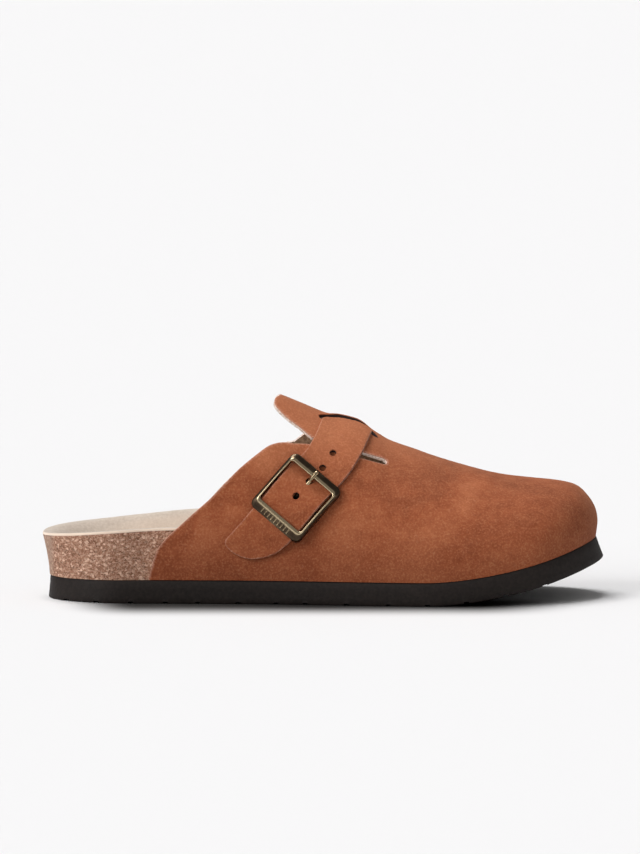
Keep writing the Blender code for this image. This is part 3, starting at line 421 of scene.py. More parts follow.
@dataclass(frozen=True)
class BrushedSuede:
    """Cow suede, brushed: a short nap whose lie turns the colour lighter or darker in soft patches."""

    name: str = "brushed_suede"
    dark: str = "6C341E"
    body: str = "984F2F"
    light: str = "BF7650"
    patch: float = 20 * MM
    streak: float = 4.2 * MM
    # Painted shade and painted light in the nap: darker towards the bottom and at the toe's front, lighter
    # towards the top. Axis, start and full place in metres, share and colour.
    painted_light_and_shade: tuple[tuple[str, float, float, float, str], ...] = (
        ("Z", 0.048, 0.014, 0.52, "6C341E"), ("X", 0.098, 0.132, 0.42, "5C2F1D"),
        ("Z", 0.055, 0.080, 0.45, "C47D58"))
    # A real fibre is 0.05 mm; it is drawn 0.55 mm so that it shows at this distance.
    fibre: float = 0.55 * MM

    def material(self) -> Material:
        """Build the shader; the attribute "edge" pales the nap beside a cut.

        Returns:
            The material.
        """
        made, tree, shader, at = principled(self.name, 0.92, Sheen_Weight=0.10, Sheen_Roughness=0.55,
                                            Specular_IOR_Level=0.22)
        shader.inputs["Sheen Tint"].default_value = linear("E8AE84")
        lie = noise(tree, at, self.patch, 3, 0.55, 0.6)
        tone = ramp(tree, lie, (0.22, self.dark), (0.50, self.body), (0.78, self.light))
        brushed = add_node(tree, "ShaderNodeMapping", {"Vector": at, "Scale": (1, 1, 1.7),
                                                       "Rotation": (0, 0.5, 0)}).outputs[0]
        streaks = noise(tree, brushed, self.streak, 4, 0.6, 0.4)
        tone = mix(tree, 0.28, tone, ramp(tree, streaks, (0.32, self.dark), (0.68, self.light)))
        place = add_node(tree, "ShaderNodeSeparateXYZ", {"Vector": at}).outputs
        # Painted shade low and at the toe's front, painted light on top, each a smooth ramp along one axis.
        for axis, start, end, depth, shade in self.painted_light_and_shade:
            share = add_node(tree, "ShaderNodeMapRange",
                             {"Value": place[axis], "From Min": start, "From Max": end, "To Max": depth},
                             interpolation_type="SMOOTHSTEP")
            tone = mix(tree, share.outputs[0], tone, shade)
        nap = noise(tree, at, self.fibre, 2, 0.7)
        tone = mix(tree, 0.22, tone, ramp(tree, nap, (0.34, "6A331C"), (0.50, self.body), (0.68, "CF8E64")))
        flecks = noise(tree, at, self.fibre * 1.6, 0)
        tone = mix(tree, ramp(tree, flecks, (0.72, BLACK), (0.82, "404040")), tone, "DFAE8C")
        edge = add_node(tree, "ShaderNodeAttribute", attribute_name="edge").outputs["Fac"]
        frayed = add_node(tree, "ShaderNodeMath", {0: edge, 1: nap}, operation="MULTIPLY").outputs[0]
        tone = mix(tree, ramp(tree, frayed, (0.16, BLACK), (0.62, "B0B0B0")), tone, "DDB9A6")
        dress(tree, shader, tone, (lie, 0.5 * MM), (streaks, 0.30 * MM), (nap, 0.14 * MM))
        return made


@dataclass(frozen=True)
class CutLeather:
    """Raw cut edge of split leather: fibrous and layered, pale where it is not rubbed."""

    name: str = "cut_leather_edge"
    dark: str = "A07E6A"
    body: str = "D8C2B4"
    light: str = "F2E6DE"
    rubbed: str = "A67C66"

    def material(self) -> Material:
        """Build the shader.

        Returns:
            The material.
        """
        made, tree, shader, at = principled(self.name, 0.95, Sheen_Weight=0.15)
        fibres = noise(tree, at, 0.6 * MM, 3, 0.7)
        patches = noise(tree, at, 3 * MM, 2)
        tone = ramp(tree, fibres, (0.30, self.dark), (0.46, self.body), (0.66, self.light))
        tone = mix(tree, ramp(tree, patches, (0.35, BLACK), (0.80, "4A4A4A")), tone, self.rubbed)
        dress(tree, shader, tone, (fibres, 0.3 * MM))
        return made


@dataclass(frozen=True)
class ShadedCutWall:
    """Wall of a punched hole and of the strap's slot: near black, painted shade of these narrow walls."""

    name: str = "cut_wall_painted_shade"

    def material(self) -> Material:
        """Build the shader.

        Returns:
            The material.
        """
        made, tree, shader, at = principled(self.name, 0.8)
        fibres = noise(tree, at, 0.5 * MM, 3, 0.7)
        dress(tree, shader, ramp(tree, fibres, (0.3, "150D09"), (0.7, "35211A")), (fibres, 0.1 * MM))
        return made


@dataclass(frozen=True)
class FleshSide:
    """Flesh side of the hide inside the shoe: loose olive-brown fibre."""

    name: str = "leather_flesh_side"

    def material(self) -> Material:
        """Build the shader.

        Returns:
            The material.
        """
        made, tree, shader, at = principled(self.name, 0.95, Sheen_Weight=0.2)
        fibres = noise(tree, at, 0.9 * MM, 4, 0.7)
        patches = noise(tree, at, 9 * MM, 2)
        tone = ramp(tree, fibres, (0.30, "7A5B45"), (0.52, "AB886B"), (0.72, "CFAF90"))
        tone = mix(tree, ramp(tree, patches, (0.30, BLACK), (0.80, "505050")), tone, "855F48")
        dress(tree, shader, tone, (fibres, 0.4 * MM))
        return made


@dataclass(frozen=True)
class PressedCork:
    """Cork granules of 1 to 3 mm pressed with latex and sanded: tan cells with pale and dark bark flecks."""

    name: str = "pressed_cork"
    granule: float = 1.25 * MM
    strip_start: float = -0.1285
    strip_full: float = -0.1315

    def material(self) -> Material:
        """Build the shader, with a plain, paler strip at the back of the heel.

        Returns:
            The material.
        """
        made, tree, shader, at = principled(self.name, 0.88, Specular_IOR_Level=0.3)
        wobble = noise(tree, at, 1.2 * MM, 2)
        squashed = add_node(tree, "ShaderNodeMapping", {"Vector": at, "Scale": (1, 1, 1.35)}).outputs[0]
        cells = add_node(tree, "ShaderNodeTexVoronoi", {"Vector": squashed, "Scale": 1 / self.granule})
        shade = add_node(tree, "ShaderNodeSeparateColor", {"Color": cells.outputs["Color"]}).outputs[0]
        tone = ramp(tree, shade, (0.0, "6C4936"), (0.20, "885C46"), (0.50, "9C6F58"), (0.80, "AE836B"),
                    (0.95, "E2BEA6"))
        crumbs = add_node(tree, "ShaderNodeTexVoronoi", {"Vector": at, "Scale": 2.4 / self.granule})
        crumb = add_node(tree, "ShaderNodeSeparateColor", {"Color": crumbs.outputs["Color"]}).outputs[1]
        tone = mix(tree, 0.38, tone, ramp(tree, crumb, (0.05, "59382A"), (0.40, "9C725C"), (0.90, "DDBBA4")))
        gaps = ramp(tree, cells.outputs["Distance"], (0.50, BLACK), (0.90, "5A5A5A"))
        tone = mix(tree, gaps, tone, "5C3B2C")
        place = add_node(tree, "ShaderNodeSeparateXYZ", {"Vector": at}).outputs["X"]
        back = add_node(tree, "ShaderNodeMapRange",
                        {"Value": place, "From Min": self.strip_start, "From Max": self.strip_full},
                        interpolation_type="SMOOTHSTEP").outputs[0]
        plain = ramp(tree, wobble, (0.3, "937867"), (0.7, "B29A89"))
        tone = mix(tree, ramp(tree, back, (0.0, BLACK), (1.0, "C8C8C8")), tone, plain)
        dress(tree, shader, tone, (cells.outputs["Distance"], -0.06 * MM), (crumb, 0.03 * MM),
              (wobble, 0.10 * MM))
        return made


@dataclass(frozen=True)
class LiningSuede:
    """Fine beige suede lining glued over the cork, with the pale raw band of its rim."""

    name: str = "lining_suede"

    def material(self) -> Material:
        """Build the shader.

        Returns:
            The material.
        """
        made, tree, shader, at = principled(self.name, 0.93, Sheen_Weight=0.25, Sheen_Roughness=0.6)
        patches = noise(tree, at, 16 * MM, 3)
        nap = noise(tree, at, 0.8 * MM, 3, 0.65)
        tone = ramp(tree, patches, (0.30, "B5A495"), (0.70, "C8BAAC"))
        tone = mix(tree, 0.25, tone, ramp(tree, nap, (0.35, "A08C78"), (0.65, "DDD0C2")))
        edge = add_node(tree, "ShaderNodeAttribute", attribute_name="edge").outputs["Fac"]
        tone = mix(tree, ramp(tree, edge, (0.1, BLACK), (0.6, WHITE)), tone, "E8D2BE")
        dress(tree, shader, tone, (patches, 0.3 * MM), (nap, 0.12 * MM))
        return made


@dataclass(frozen=True)
class FoamRubber:
    """Moulded closed-cell foam rubber: near black brown, matt, with a fine skin."""

    name: str = "foam_rubber"

    def material(self) -> Material:
        """Build the shader.

        Returns:
            The material.
        """
        made, tree, shader, at = principled(self.name, 0.62, Specular_IOR_Level=0.25)
        skin = noise(tree, at, 0.9 * MM, 4, 0.65)
        dust = noise(tree, at, 11 * MM, 4, 0.6)
        tone = ramp(tree, dust, (0.30, "17110E"), (0.62, "1F1815"), (0.80, "2C2420"))
        tone = mix(tree, 0.3, tone, ramp(tree, skin, (0.35, "100C0A"), (0.70, "352C28")))
        gloss = add_node(tree, "ShaderNodeMapRange", {"Value": dust, "To Min": 0.52, "To Max": 0.78})
        tree.links.new(gloss.outputs[0], shader.inputs["Roughness"])
        dress(tree, shader, tone, (dust, 0.25 * MM), (skin, 0.12 * MM))
        return made


@dataclass(frozen=True)
class AntiqueBrass:
    """Cast zinc with antiqued brass plate: dark in its hollows, rubbed bright on its rims."""

    name: str = "antique_brass"

    def material(self) -> Material:
        """Build the shader; the attribute "polish" is 1 on rubbed rims.

        Returns:
            The material.
        """
        made, tree, shader, at = principled(self.name, 0.34, 1.0)
        grain = noise(tree, at, 0.5 * MM, 4, 0.7)
        clouds = noise(tree, at, 3.2 * MM, 3)
        polish = add_node(tree, "ShaderNodeAttribute", attribute_name="polish").outputs["Fac"]
        worn = add_node(tree, "ShaderNodeMath", {0: clouds, 1: 0.7}, operation="MULTIPLY").outputs[0]
        worn = add_node(tree, "ShaderNodeMath", {0: polish, 1: worn}, operation="ADD").outputs[0]
        tone = ramp(tree, worn, (0.20, "2C241E"), (0.45, "4A3D30"), (0.80, "85755C"), (0.97, "BBA888"))
        tree.links.new(ramp(tree, worn, (0.25, "9C9C9C"), (0.95, "747474")), shader.inputs["Roughness"])
        dress(tree, shader, tone, (clouds, 0.06 * MM), (grain, 0.03 * MM))
        return made


@dataclass
class Last:
    """Sizes of the shoe and the surface of its last, read from one fine grid of points."""

    sole_length: float = 267.3 * MM
    ball_width: float = 99.0 * MM
    sole_thickness: float = 11.0 * MM
    toe_spring: float = 18.6 * MM
    spring_start: float = 0.675
    spring_power: float = 1.7
    bed_rise: float = 25.0 * MM
    heel_flare: float = 3.3 * MM
    heel_proud: float = 0.4 * MM
    flap_rise: float = 85.0 * MM
    wall: float = 2.0 * MM
    setback: float = 0.2 * MM
    belly: float = 0.03
    pattern_start: float = 0.16
    gap: float = 0.3 * MM
    curved_fit: float = 0.5 * MM
    # Girths run past the feather line, and the ridge swings to the toe's middle over its last stretch.
    skirt: float = 1.08
    toe_turn: float = 0.1
    steps_along: int = 380
    steps_round: int = 96
    heel_x: float = field(init=False)
    length: float = field(init=False)
    feather: dict[Side, tuple[np.ndarray, ...]] = field(init=False)
    stations: np.ndarray = field(init=False)
    girths: np.ndarray = field(init=False)
    grid: np.ndarray = field(init=False)
    slopes: tuple[np.ndarray, ...] = field(init=False)

    def __post_init__(self) -> None:
        """Work out the overall places and the grid of the last's surface."""
        overhang = self.heel_flare - self.heel_proud - float(OUTLINE["lean"][0]) * self.sole_thickness
        self.heel_x = overhang - (self.sole_length + overhang) / 2
        self.length = self.sole_length - float(OUTLINE["lean"][-1]) * self.sole_thickness - self.setback
        self.feather = {side: self.plan_line(side, self.feather_inset) for side in Side}
        turned = np.linspace(float(turn(self.pattern_start)) - 0.01, 1, self.steps_along + 1)
        self.stations = station_of(turned) * self.length
        self.girths = np.linspace(-self.skirt, self.skirt, 2 * self.steps_round + 1)
        self.grid = np.zeros((len(self.stations), len(self.girths), 3))
        for row, x in enumerate(self.stations):
            for side in Side:
                y, z = self.half_section(float(x), side)
                arc = np.concatenate(([0], np.cumsum(np.hypot(np.diff(y), np.diff(z)))))
                chosen = self.girths * side.sign >= 0
                amount = np.abs(self.girths[chosen])
                share = np.minimum(amount, 1) * arc[-1]
                self.grid[row, chosen, 0] = x
                self.grid[row, chosen, 1] = np.interp(share, arc, y)
                self.grid[row, chosen, 2] = np.interp(share, arc, z) - np.maximum(amount - 1, 0) * arc[-1]
        along = np.gradient(self.grid, self.stations, axis=0)
        across = np.gradient(self.grid, self.girths, axis=1)
        normal = np.cross(along, across)
        size = np.linalg.norm(normal, axis=2, keepdims=True)
        self.slopes = (along, across, normal / np.maximum(size, 1e-12))

    def sole_bottom(self, x: np.ndarray) -> np.ndarray:
        """Return the height of the tread at a distance from the heel."""
        share = np.asarray(x, dtype=float) / self.sole_length - self.spring_start
        return self.toe_spring * np.clip(share / (1 - self.spring_start), 0, 1.2) ** self.spring_power

    def sole_top(self, x: np.ndarray) -> np.ndarray:
        """Return the height of the outsole's upper face."""
        return self.sole_bottom(x) + self.sole_thickness

    def lean(self, station: np.ndarray) -> np.ndarray:
        """Return the inset of the outsole's upper edge."""
        return spline(OUTLINE["station"], OUTLINE["lean"], station) * self.sole_thickness

    def feather_inset(self, station: np.ndarray, side: Side) -> np.ndarray:
        """Return the inset of the upper's outer face at the outsole."""
        return self.lean(station) + self.setback

    def plan_line(self, side: Side, inset: Inset, steps: int = 240) -> tuple[np.ndarray, ...]:
        """Return one side of the plan outline, moved in.

        Args:
            side: side of the shoe.
            inset: function of the station share and side.
            steps: number of stretches from heel to toe.

        Returns:
            Arrays of x, y and the station share.
        """
        station = station_of(np.linspace(0, 1, steps + 1))
        x = station * self.sole_length
        y = read(OUTLINE, side.value, station) * self.ball_width
        dx, dy = np.gradient(x), np.gradient(y)
        inward = -side.sign
        dx[0] = dx[-1] = 0
        dy[0], dy[-1] = -inward, inward
        length = np.hypot(dx, dy)
        amount = inset(station, side)
        return x - inward * amount * dy / length, y + inward * amount * dx / length, station

    def half_section(self, x: float, side: Side, steps: int = 60) -> tuple[np.ndarray, np.ndarray]:
        """Return the y and z of one half-section, from the ridge down to the feather.

        Args:
            x: distance from the heel.
            side: side of the shoe.
            steps: stretches along the curve.

        Returns:
            Arrays of y and z.
        """
        share = x / self.length
        line_x, line_y, _ = self.feather[side]
        foot_y = float(np.interp(x, line_x, line_y))
        foot_z = float(self.sole_top(x)) + self.gap
        ridge_z = float(self.sole_top(x)) + float(read(LAST, "ridge_rise", share)) * self.flap_rise
        ridge_y = float(read(LAST, "ridge_side", share)) * self.ball_width
        swing = min(1.0, max(0.0, (share - 1 + self.toe_turn) / self.toe_turn))
        ridge_y += (float(line_y[-1]) - ridge_y) * swing ** 2
        height, width = ridge_z - foot_z, foot_y - ridge_y
        t = np.linspace(0, 1, steps + 1)
        s = 1 - t
        top = ridge_y + float(read(LAST, "top", share)) * width
        flank = foot_z + float(read(LAST, "side", share)) * height
        bellied = foot_y + self.belly * width
        y = ridge_y * s ** 3 + 3 * top * s * s * t + 3 * bellied * s * t * t + foot_y * t ** 3
        z = ridge_z * s ** 3 + 3 * ridge_z * s * s * t + 3 * flank * s * t * t + foot_z * t ** 3
        return y, z

    def sample(self, values: np.ndarray, flat: np.ndarray) -> np.ndarray:
        """Read a grid of values at flat points.

        Args:
            values: values at each station and girth.
            flat: flat points (metres from the heel, girth).

        Returns:
            The values there.
        """
        row = np.interp(flat[:, 0], self.stations, np.arange(len(self.stations)))
        column = np.interp(flat[:, 1], self.girths, np.arange(len(self.girths)))
        i = np.minimum(row.astype(int), len(self.stations) - 2)
        j = np.minimum(column.astype(int), len(self.girths) - 2)
        a, b = (row - i)[:, None], (column - j)[:, None]
        near = values[i, j] * (1 - b) + values[i, j + 1] * b
        return near * (1 - a) + (values[i + 1, j] * (1 - b) + values[i + 1, j + 1] * b) * a

    def skin(self, flat: np.ndarray) -> tuple[np.ndarray, np.ndarray]:
        """Return the points and outward normals of the last at flat points."""
        normal = self.sample(self.slopes[2], flat)
        size = np.linalg.norm(normal, axis=1, keepdims=True)
        # The ridge ends in a point at the toe, where the skin has no slope across and faces forward.
        normal = np.where(size < 1e-6, (1.0, 0.0, 0.0), normal / np.maximum(size, 1e-6))
        return self.sample(self.grid, flat), normal

    def moved(self, flat: np.ndarray, move: np.ndarray, steps: int = 4) -> np.ndarray:
        """Move flat points along the skin by vectors in space.

        Args:
            flat: flat points.
            move: vector for each point.
            steps: number of small steps.

        Returns:
            The moved flat points.
        """
        flat = np.array(flat, dtype=float)
        for _ in range(steps):
            along = self.sample(self.slopes[0], flat)
            across = self.sample(self.slopes[1], flat)
            aa, ab, bb = (along * along).sum(1), (along * across).sum(1), (across * across).sum(1)
            ma, mb = (move * along).sum(1) / steps, (move * across).sum(1) / steps
            det = aa * bb - ab * ab
            flat = flat + np.stack([(ma * bb - mb * ab) / det, (mb * aa - ma * ab) / det], axis=1)
        return flat

    def sideways(self, path: np.ndarray, offset: float) -> np.ndarray:
        """Move a flat path sideways on the skin.

        Args:
            path: flat points along it.
            offset: metres, positive to the left of its run.

        Returns:
            The moved flat points.
        """
        points, normal = self.skin(path)
        run = np.gradient(points, axis=0)
        side = np.cross(normal, run)
        side /= np.maximum(np.linalg.norm(side, axis=1, keepdims=True), 1e-12)
        return self.moved(path, side * offset, 1)

    def flat_path(self, rows: dict[str, np.ndarray], side: Side | None = None) -> np.ndarray:
        """Turn a table into flat points.

        Args:
            rows: stations with girths, or with rises where a side is given.
            side: side on which the rises are looked up.

        Returns:
            The flat points (metres, girth).
        """
        x = rows["station"] * self.sole_length
        if side is None:
            return np.stack([x, rows["girth"]], axis=1)
        girths = []
        for place, rise in zip(x, rows["rise"]):
            half = np.linspace(0, self.skirt, 400)
            points = self.sample(self.grid, np.stack([np.full_like(half, place), side.sign * half], axis=1))
            height = float(self.sole_top(place)) + rise * self.flap_rise
            girths.append(side.sign * float(np.interp(-height, -points[:, 2], half)))
        return np.stack([x, np.array(girths)], axis=1)

    def place(self, points: np.ndarray) -> np.ndarray:
        """Move points from the heel's frame to the part's frame."""
        return points + np.array((self.heel_x, 0, 0))


@dataclass
class SheetSurface:
    """Outer points, normals, triangles and edge distances of a cut sheet of leather."""

    points: np.ndarray
    normals: np.ndarray
    faces: list[list[int]]
    distance: np.ndarray


def triangulate(free: np.ndarray, loops: list[np.ndarray], keep: Test) -> tuple[np.ndarray, list[list[int]]]:
    """Join free points and closed loops into triangles, and keep those that a test accepts.

    Args:
        free: flat points inside the sheet.
        loops: closed flat loops that edges follow.
        keep: function from triangle centres to booleans.

    Returns:
        The flat points in use and the triangles.
    """
    points, edges = list(map(tuple, free)), []
    for loop in loops:
        start = len(points)
        points += list(map(tuple, loop))
        edges += [(start + k, start + (k + 1) % len(loop)) for k in range(len(loop))]
    verts, _, faces, *_ = delaunay_2d_cdt([Vector(p) for p in points], edges, [], 0, 1e-5)
    flat = np.array([tuple(v) for v in verts])
    faces = np.array([f for f in faces if len(f) == 3])
    faces = faces[keep(flat[faces].mean(axis=1))]
    used, renamed = np.unique(faces, return_inverse=True)
    return flat[used], renamed.reshape(-1, 3).tolist()


def edge_distance(points: np.ndarray, edges: list[np.ndarray]) -> np.ndarray:
    """Measure how far points lie from the nearest cut edge.

    Args:
        points: points in space.
        edges: cut edges as lines of points in space.

    Returns:
        The distance of each point.
    """
    dense = []
    for line in edges:
        steps = np.linspace(0, len(line) - 1, 6 * (len(line) - 1) + 1)
        dense.append(np.stack([np.interp(steps, np.arange(len(line)), line[:, k]) for k in range(3)], axis=1))
    dense = np.concatenate(dense)
    tree = kdtree.KDTree(len(dense))
    for k, point in enumerate(dense):
        tree.insert(point, k)
    tree.balance()
    return np.array([tree.find(point)[2] for point in points])


def placed(name: str, bm: BMesh) -> Object:
    """Turn a bmesh into an object of the scene.

    Args:
        name: name of the object.
        bm: its mesh, which is freed.

    Returns:
        The object.
    """
    mesh = bpy.data.meshes.new(name)
    bm.to_mesh(mesh)
    bm.free()
    made = bpy.data.objects.new(name, mesh)
    bpy.context.scene.collection.objects.link(made)
    return made


def link(name: str, bm: BMesh, *materials: Material,
         sharp: float = 45) -> Object:
    """Turn a bmesh into a smooth-shaded object with its materials, which rides on the root.

    Args:
        name: name of the object.
        bm: its mesh, which is freed.
        materials: its materials in order.
        sharp: angle in degrees above which an edge is sharp.

    Returns:
        The object.
    """
    made = placed(name, bm)
    for each in materials:
        made.data.materials.append(each)
    made.data.shade_smooth()
    made.data.set_sharp_from_angle(angle=math.radians(sharp))
    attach(made, "root")
    return made


def leather(name: str, surface: SheetSurface, wall: float, materials: Materials, pale: np.ndarray,
            fray: float = 0.05 * MM, paling: float = 1.5 * MM) -> Object:
    """Give a cut sheet its wall inwards, with rounded outer edges and a frayed cut.

    Args:
        name: name of the object.
        surface: the outer surface.
        wall: thickness of the leather.
        materials: face, back, cut edge, and the near-black painted shade of hole and slot walls.
        pale: share of each point's cut edge that is pale; below 0.5 its wall gets the near-black painted
            shade.
        fray: depth of the cut edge's unevenness.
        paling: width of the band along the cut where the nap pales.

    Returns:
        The object.
    """
    radius = min(0.35 * MM, wall / 4)
    near = np.clip(1 - surface.distance / radius, 0, 1)
    drop = radius - np.sqrt(np.maximum(radius ** 2 - (near * radius) ** 2, 0))
    waves = ((2100, 3300, 1700), (-900, 1500, 2600))
    waver = np.prod([np.sin(surface.points @ np.array(wave)) for wave in waves], axis=0)
    drop = drop + fray * waver * near
    outer = surface.points - surface.normals * drop[:, None]
    inner = surface.points - surface.normals * wall
    bm = bmesh.new()
    number = bm.verts.layers.int.new("number")
    edge = bm.verts.layers.float.new("edge")
    verts = []
    for k, point in enumerate(outer):
        vert = bm.verts.new(point)
        vert[number] = k
        vert[edge] = float(np.clip(1 - surface.distance[k] / paling, 0, 1) * pale[k])
        verts.append(vert)
    for face in surface.faces:
        bm.faces.new([verts[k] for k in face])
    grown = bmesh.ops.extrude_face_region(bm, geom=bm.faces[:], use_keep_orig=True)
    backs = {item for item in grown["geom"] if isinstance(item, BMVert)}
    for vert in backs:
        vert.co = inner[vert[number]]
    for face in bm.faces:
        behind = sum(vert in backs for vert in face.verts)
        face.material_index = 0 if behind == 0 else 1 if behind == len(face.verts) else 2
        # Walls where pale is below 0.5 take the near-black painted shade.
        if face.material_index == 2 and min(pale[vert[number]] for vert in face.verts) < 0.5:
            face.material_index = 3
    bmesh.ops.recalc_face_normals(bm, faces=bm.faces)
    return link(name, bm, *materials)


@dataclass
class Upper:
    """One-piece suede upper: collar, instep flap, slit and strap slot cut in a sheet laid on the last."""

    last: Last
    slit_width: float = 3.8 * MM
    slot_width: float = 7.0 * MM
    slot_lip: float = 1.6 * MM
    lip_reach: float = 8.0 * MM
    toe_bulge: float = 1.5 * MM
    bulge_height: float = 31.0 * MM
    bulge_from: float = 34 * MM
    bulge_full: float = 3 * MM
    # A half-girth is about 0.36 of the sole's length. Creases fade near the feather line and near a cut.
    girth_share: float = 0.36
    crease_fade: float = 0.12
    calm_edge: float = 6 * MM
    columns: int = 186
    rows: int = 68
    # Grid points keep this far from a cut, in grid steps, and a row of points lies at each side of it.
    clear_of_cut: float = 0.75
    beside_cut: float = 0.3 * MM

    def opening(self) -> np.ndarray:
        """Draw the foot's opening with the slit and the flap.

        Returns:
            The flat outline.
        """
        last = self.last
        lateral = even_path(last.flat_path(COLLAR_LATERAL, Side.LATERAL), 150)
        medial = even_path(last.flat_path(COLLAR_MEDIAL, Side.MEDIAL), 140)
        slit = even_path(last.flat_path(SLIT, Side.LATERAL), 60)
        width = self.slit_width / 2
        lower, upper = last.sideways(slit, width), last.sideways(slit, -width)
        if lower[3][1] > upper[3][1]:
            lower, upper = upper, lower
        points, normal = last.skin(slit[-1:])
        run = points[0] - last.skin(slit[-2:-1])[0][0]
        run /= np.linalg.norm(run)
        side = np.cross(normal[0], run)
        if last.moved(slit[-1:], side[None] * width)[0][1] < slit[-1][1]:
            side = -side
        angles = np.radians(np.arange(-60, 90, 30))
        moves = np.array([run * math.cos(a) + side * math.sin(a) for a in angles]) * width
        front = last.moved(np.repeat(slit[-1:], len(moves), axis=0), moves)
        flap = last.flat_path(FLAP)
        flap = flap[flap[:, 0] < upper[0][0] + self.slit_width]
        flank = even_path(flap * (1, -1), 60)
        behind, below = last.stations[0] - 10 * MM, last.skirt - 0.02
        return np.concatenate([
            [(behind, -below), (lateral[0][0], -below)], lateral, lower, front, upper[::-1],
            flank[1:], even_path(flap[1:], 60)[::-1][1:], medial[::-1],
            [(medial[0][0], below), (behind, below)],
        ])

    def slot(self) -> np.ndarray:
        """Draw the crescent slot for the strap.

        Returns:
            The flat outline.
        """
        path = even_path(self.last.flat_path(SLOT), 46)
        half = self.slot_width / 2
        taper = np.sqrt(np.clip(1 - np.linspace(-1, 1, len(path)) ** 4, 0, 1))
        left = self.last.sideways(path, half)
        right = self.last.sideways(path, -half)
        left = path + (left - path) * taper[:, None]
        right = path + (right - path) * taper[:, None]
        return np.concatenate([left, right[::-1][1:-1]])

    def crease(self, flat: np.ndarray) -> np.ndarray:
        """Work out the worn-in troughs and ridges.

        Args:
            flat: flat points (metres, girth).

        Returns:
            Their height at each point.
        """
        total = np.zeros(len(flat))
        for k in range(len(CREASES["station"])):
            across = (flat[:, 1] - CREASES["girth"][k]) * self.girth_share
            along = flat[:, 0] / self.last.sole_length - CREASES["station"][k]
            angle = math.radians(CREASES["turn"][k])
            u = along * math.cos(angle) + across * math.sin(angle)
            v = across * math.cos(angle) - along * math.sin(angle)
            spread = (u / CREASES["along"][k]) ** 2 + (v / (CREASES["across"][k] * self.girth_share)) ** 2
            total += CREASES["height"][k] * MM * np.exp(-spread * 1.5)
        return total * ease(1 - np.abs(flat[:, 1]), 0.0, self.crease_fade)

    def lip(self, flat: np.ndarray, from_slot: np.ndarray) -> np.ndarray:
        """Work out how far the strap beneath lifts the slot's inner lip.

        Args:
            flat: flat points (metres, girth).
            from_slot: distance of each point from the slot.

        Returns:
            The lift at each point.
        """
        station = flat[:, 0] / self.last.sole_length
        beyond = flat[:, 1] > np.interp(station, SLOT["station"], SLOT["girth"])
        ends = ease(station, SLOT["station"][0], SLOT["station"][2]) * (
            1 - ease(station, SLOT["station"][-3], SLOT["station"][-1]))
        return self.slot_lip * beyond * ends * (1 - ease(from_slot, 0, self.lip_reach))

    def bulge(self, points: np.ndarray) -> np.ndarray:
        """Work out how far the toe box stands out.

        Args:
            points: points in the heel's frame.

        Returns:
            The distance at each point.
        """
        near = ease(points[:, 0], self.last.length - self.bulge_from, self.last.length - self.bulge_full)
        rise = (points[:, 2] - self.last.sole_top(points[:, 0])) / self.bulge_height
        return self.toe_bulge * near * np.sin(math.pi * np.clip(rise, 0, 1))

    def build(self, materials: Materials) -> Object:
        """Cut the sheet, lay it on the last and give it its wall.

        Args:
            materials: face, back, cut edge, and the near-black painted shade of the slot's wall.

        Returns:
            The object.
        """
        last = self.last
        turned = np.linspace(float(turn(last.pattern_start)), 1, self.columns + 1)
        stations = station_of(turned) * last.length
        index = np.arange(len(stations))

        def to_grid(flat: np.ndarray) -> np.ndarray:
            """Turn flat points into grid places.

            Args:
                flat: flat points (metres, girth).

            Returns:
                Columns and rows of the grid.
            """
            column = np.interp(flat[:, 0], stations, index)
            column += np.minimum(flat[:, 0] - stations[0], 0) / (stations[1] - stations[0])
            return np.stack([column, flat[:, 1] * self.rows], axis=1)

        def from_grid(spots: np.ndarray) -> np.ndarray:
            """Turn columns and rows of the grid into metres and girth."""
            return np.stack([np.interp(spots[:, 0], index, stations), spots[:, 1] / self.rows], axis=1)

        opening, slot = to_grid(self.opening()), to_grid(self.slot())
        columns, rows = np.meshgrid(index, np.arange(-self.rows, self.rows + 1), indexing="ij")
        free = np.stack([columns.ravel(), rows.ravel()], axis=1).astype(float)
        lines = np.concatenate([opening, slot])
        tree = kdtree.KDTree(len(lines))
        for k, (u, v) in enumerate(lines):
            tree.insert((u, v, 0), k)
        tree.balance()
        clear = np.array([tree.find((u, v, 0))[2] for u, v in free]) > self.clear_of_cut
        inner = (np.abs(free[:, 1]) < self.rows) & (free[:, 0] < self.columns)

        def keep(centres: np.ndarray) -> np.ndarray:
            """Accept what lies on the leather."""
            on = (np.abs(centres[:, 1]) < self.rows) & (centres[:, 0] > 0) & (centres[:, 0] < self.columns)
            return on & ~inside(centres, opening) & ~inside(centres, slot)

        free = free[clear & inner & keep(free)]
        border = np.concatenate([
            np.stack([np.arange(0, self.columns + 1), np.full(self.columns + 1, -self.rows)], axis=1),
            np.stack([np.full(2 * self.rows - 1, self.columns), np.arange(1 - self.rows, self.rows)], axis=1),
            np.stack([np.arange(self.columns, -1, -1), np.full(self.columns + 1, self.rows)], axis=1),
        ]).astype(float)
        offsets = []
        for loop in (opening, slot):
            flat = from_grid(loop[(loop[:, 0] > 0) & (np.abs(loop[:, 1]) < self.rows - 1)])
            for amount in (self.beside_cut, -self.beside_cut):
                spots = to_grid(last.sideways(flat, amount))
                offsets.append(spots[keep(spots)])
        free = np.concatenate([free, *offsets])
        spots, faces = triangulate(free, [border, opening, slot], keep)
        flat = from_grid(spots)
        points, normals = last.skin(flat)
        edges = [last.skin(from_grid(loop))[0] for loop in (opening[2:-2], np.vstack([slot, slot[:1]]))]
        distance = edge_distance(points, edges)
        points = points + normals * self.crease(flat)[:, None] * ease(distance, 0, self.calm_edge)[:, None]
        from_slot = edge_distance(points, edges[1:])
        points = points + normals * (self.lip(flat, from_slot) + self.bulge(points))[:, None]
        # The slot's wall gets the near-black painted shade, and the nap beside it is not paled.
        pale = np.where(from_slot < self.slot_lip, 0.0, 1.0)
        made = leather("upper_suede_shell", SheetSurface(last.place(points), normals, faces, distance),
                       last.wall, materials, pale)
        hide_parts("upper")
        return made


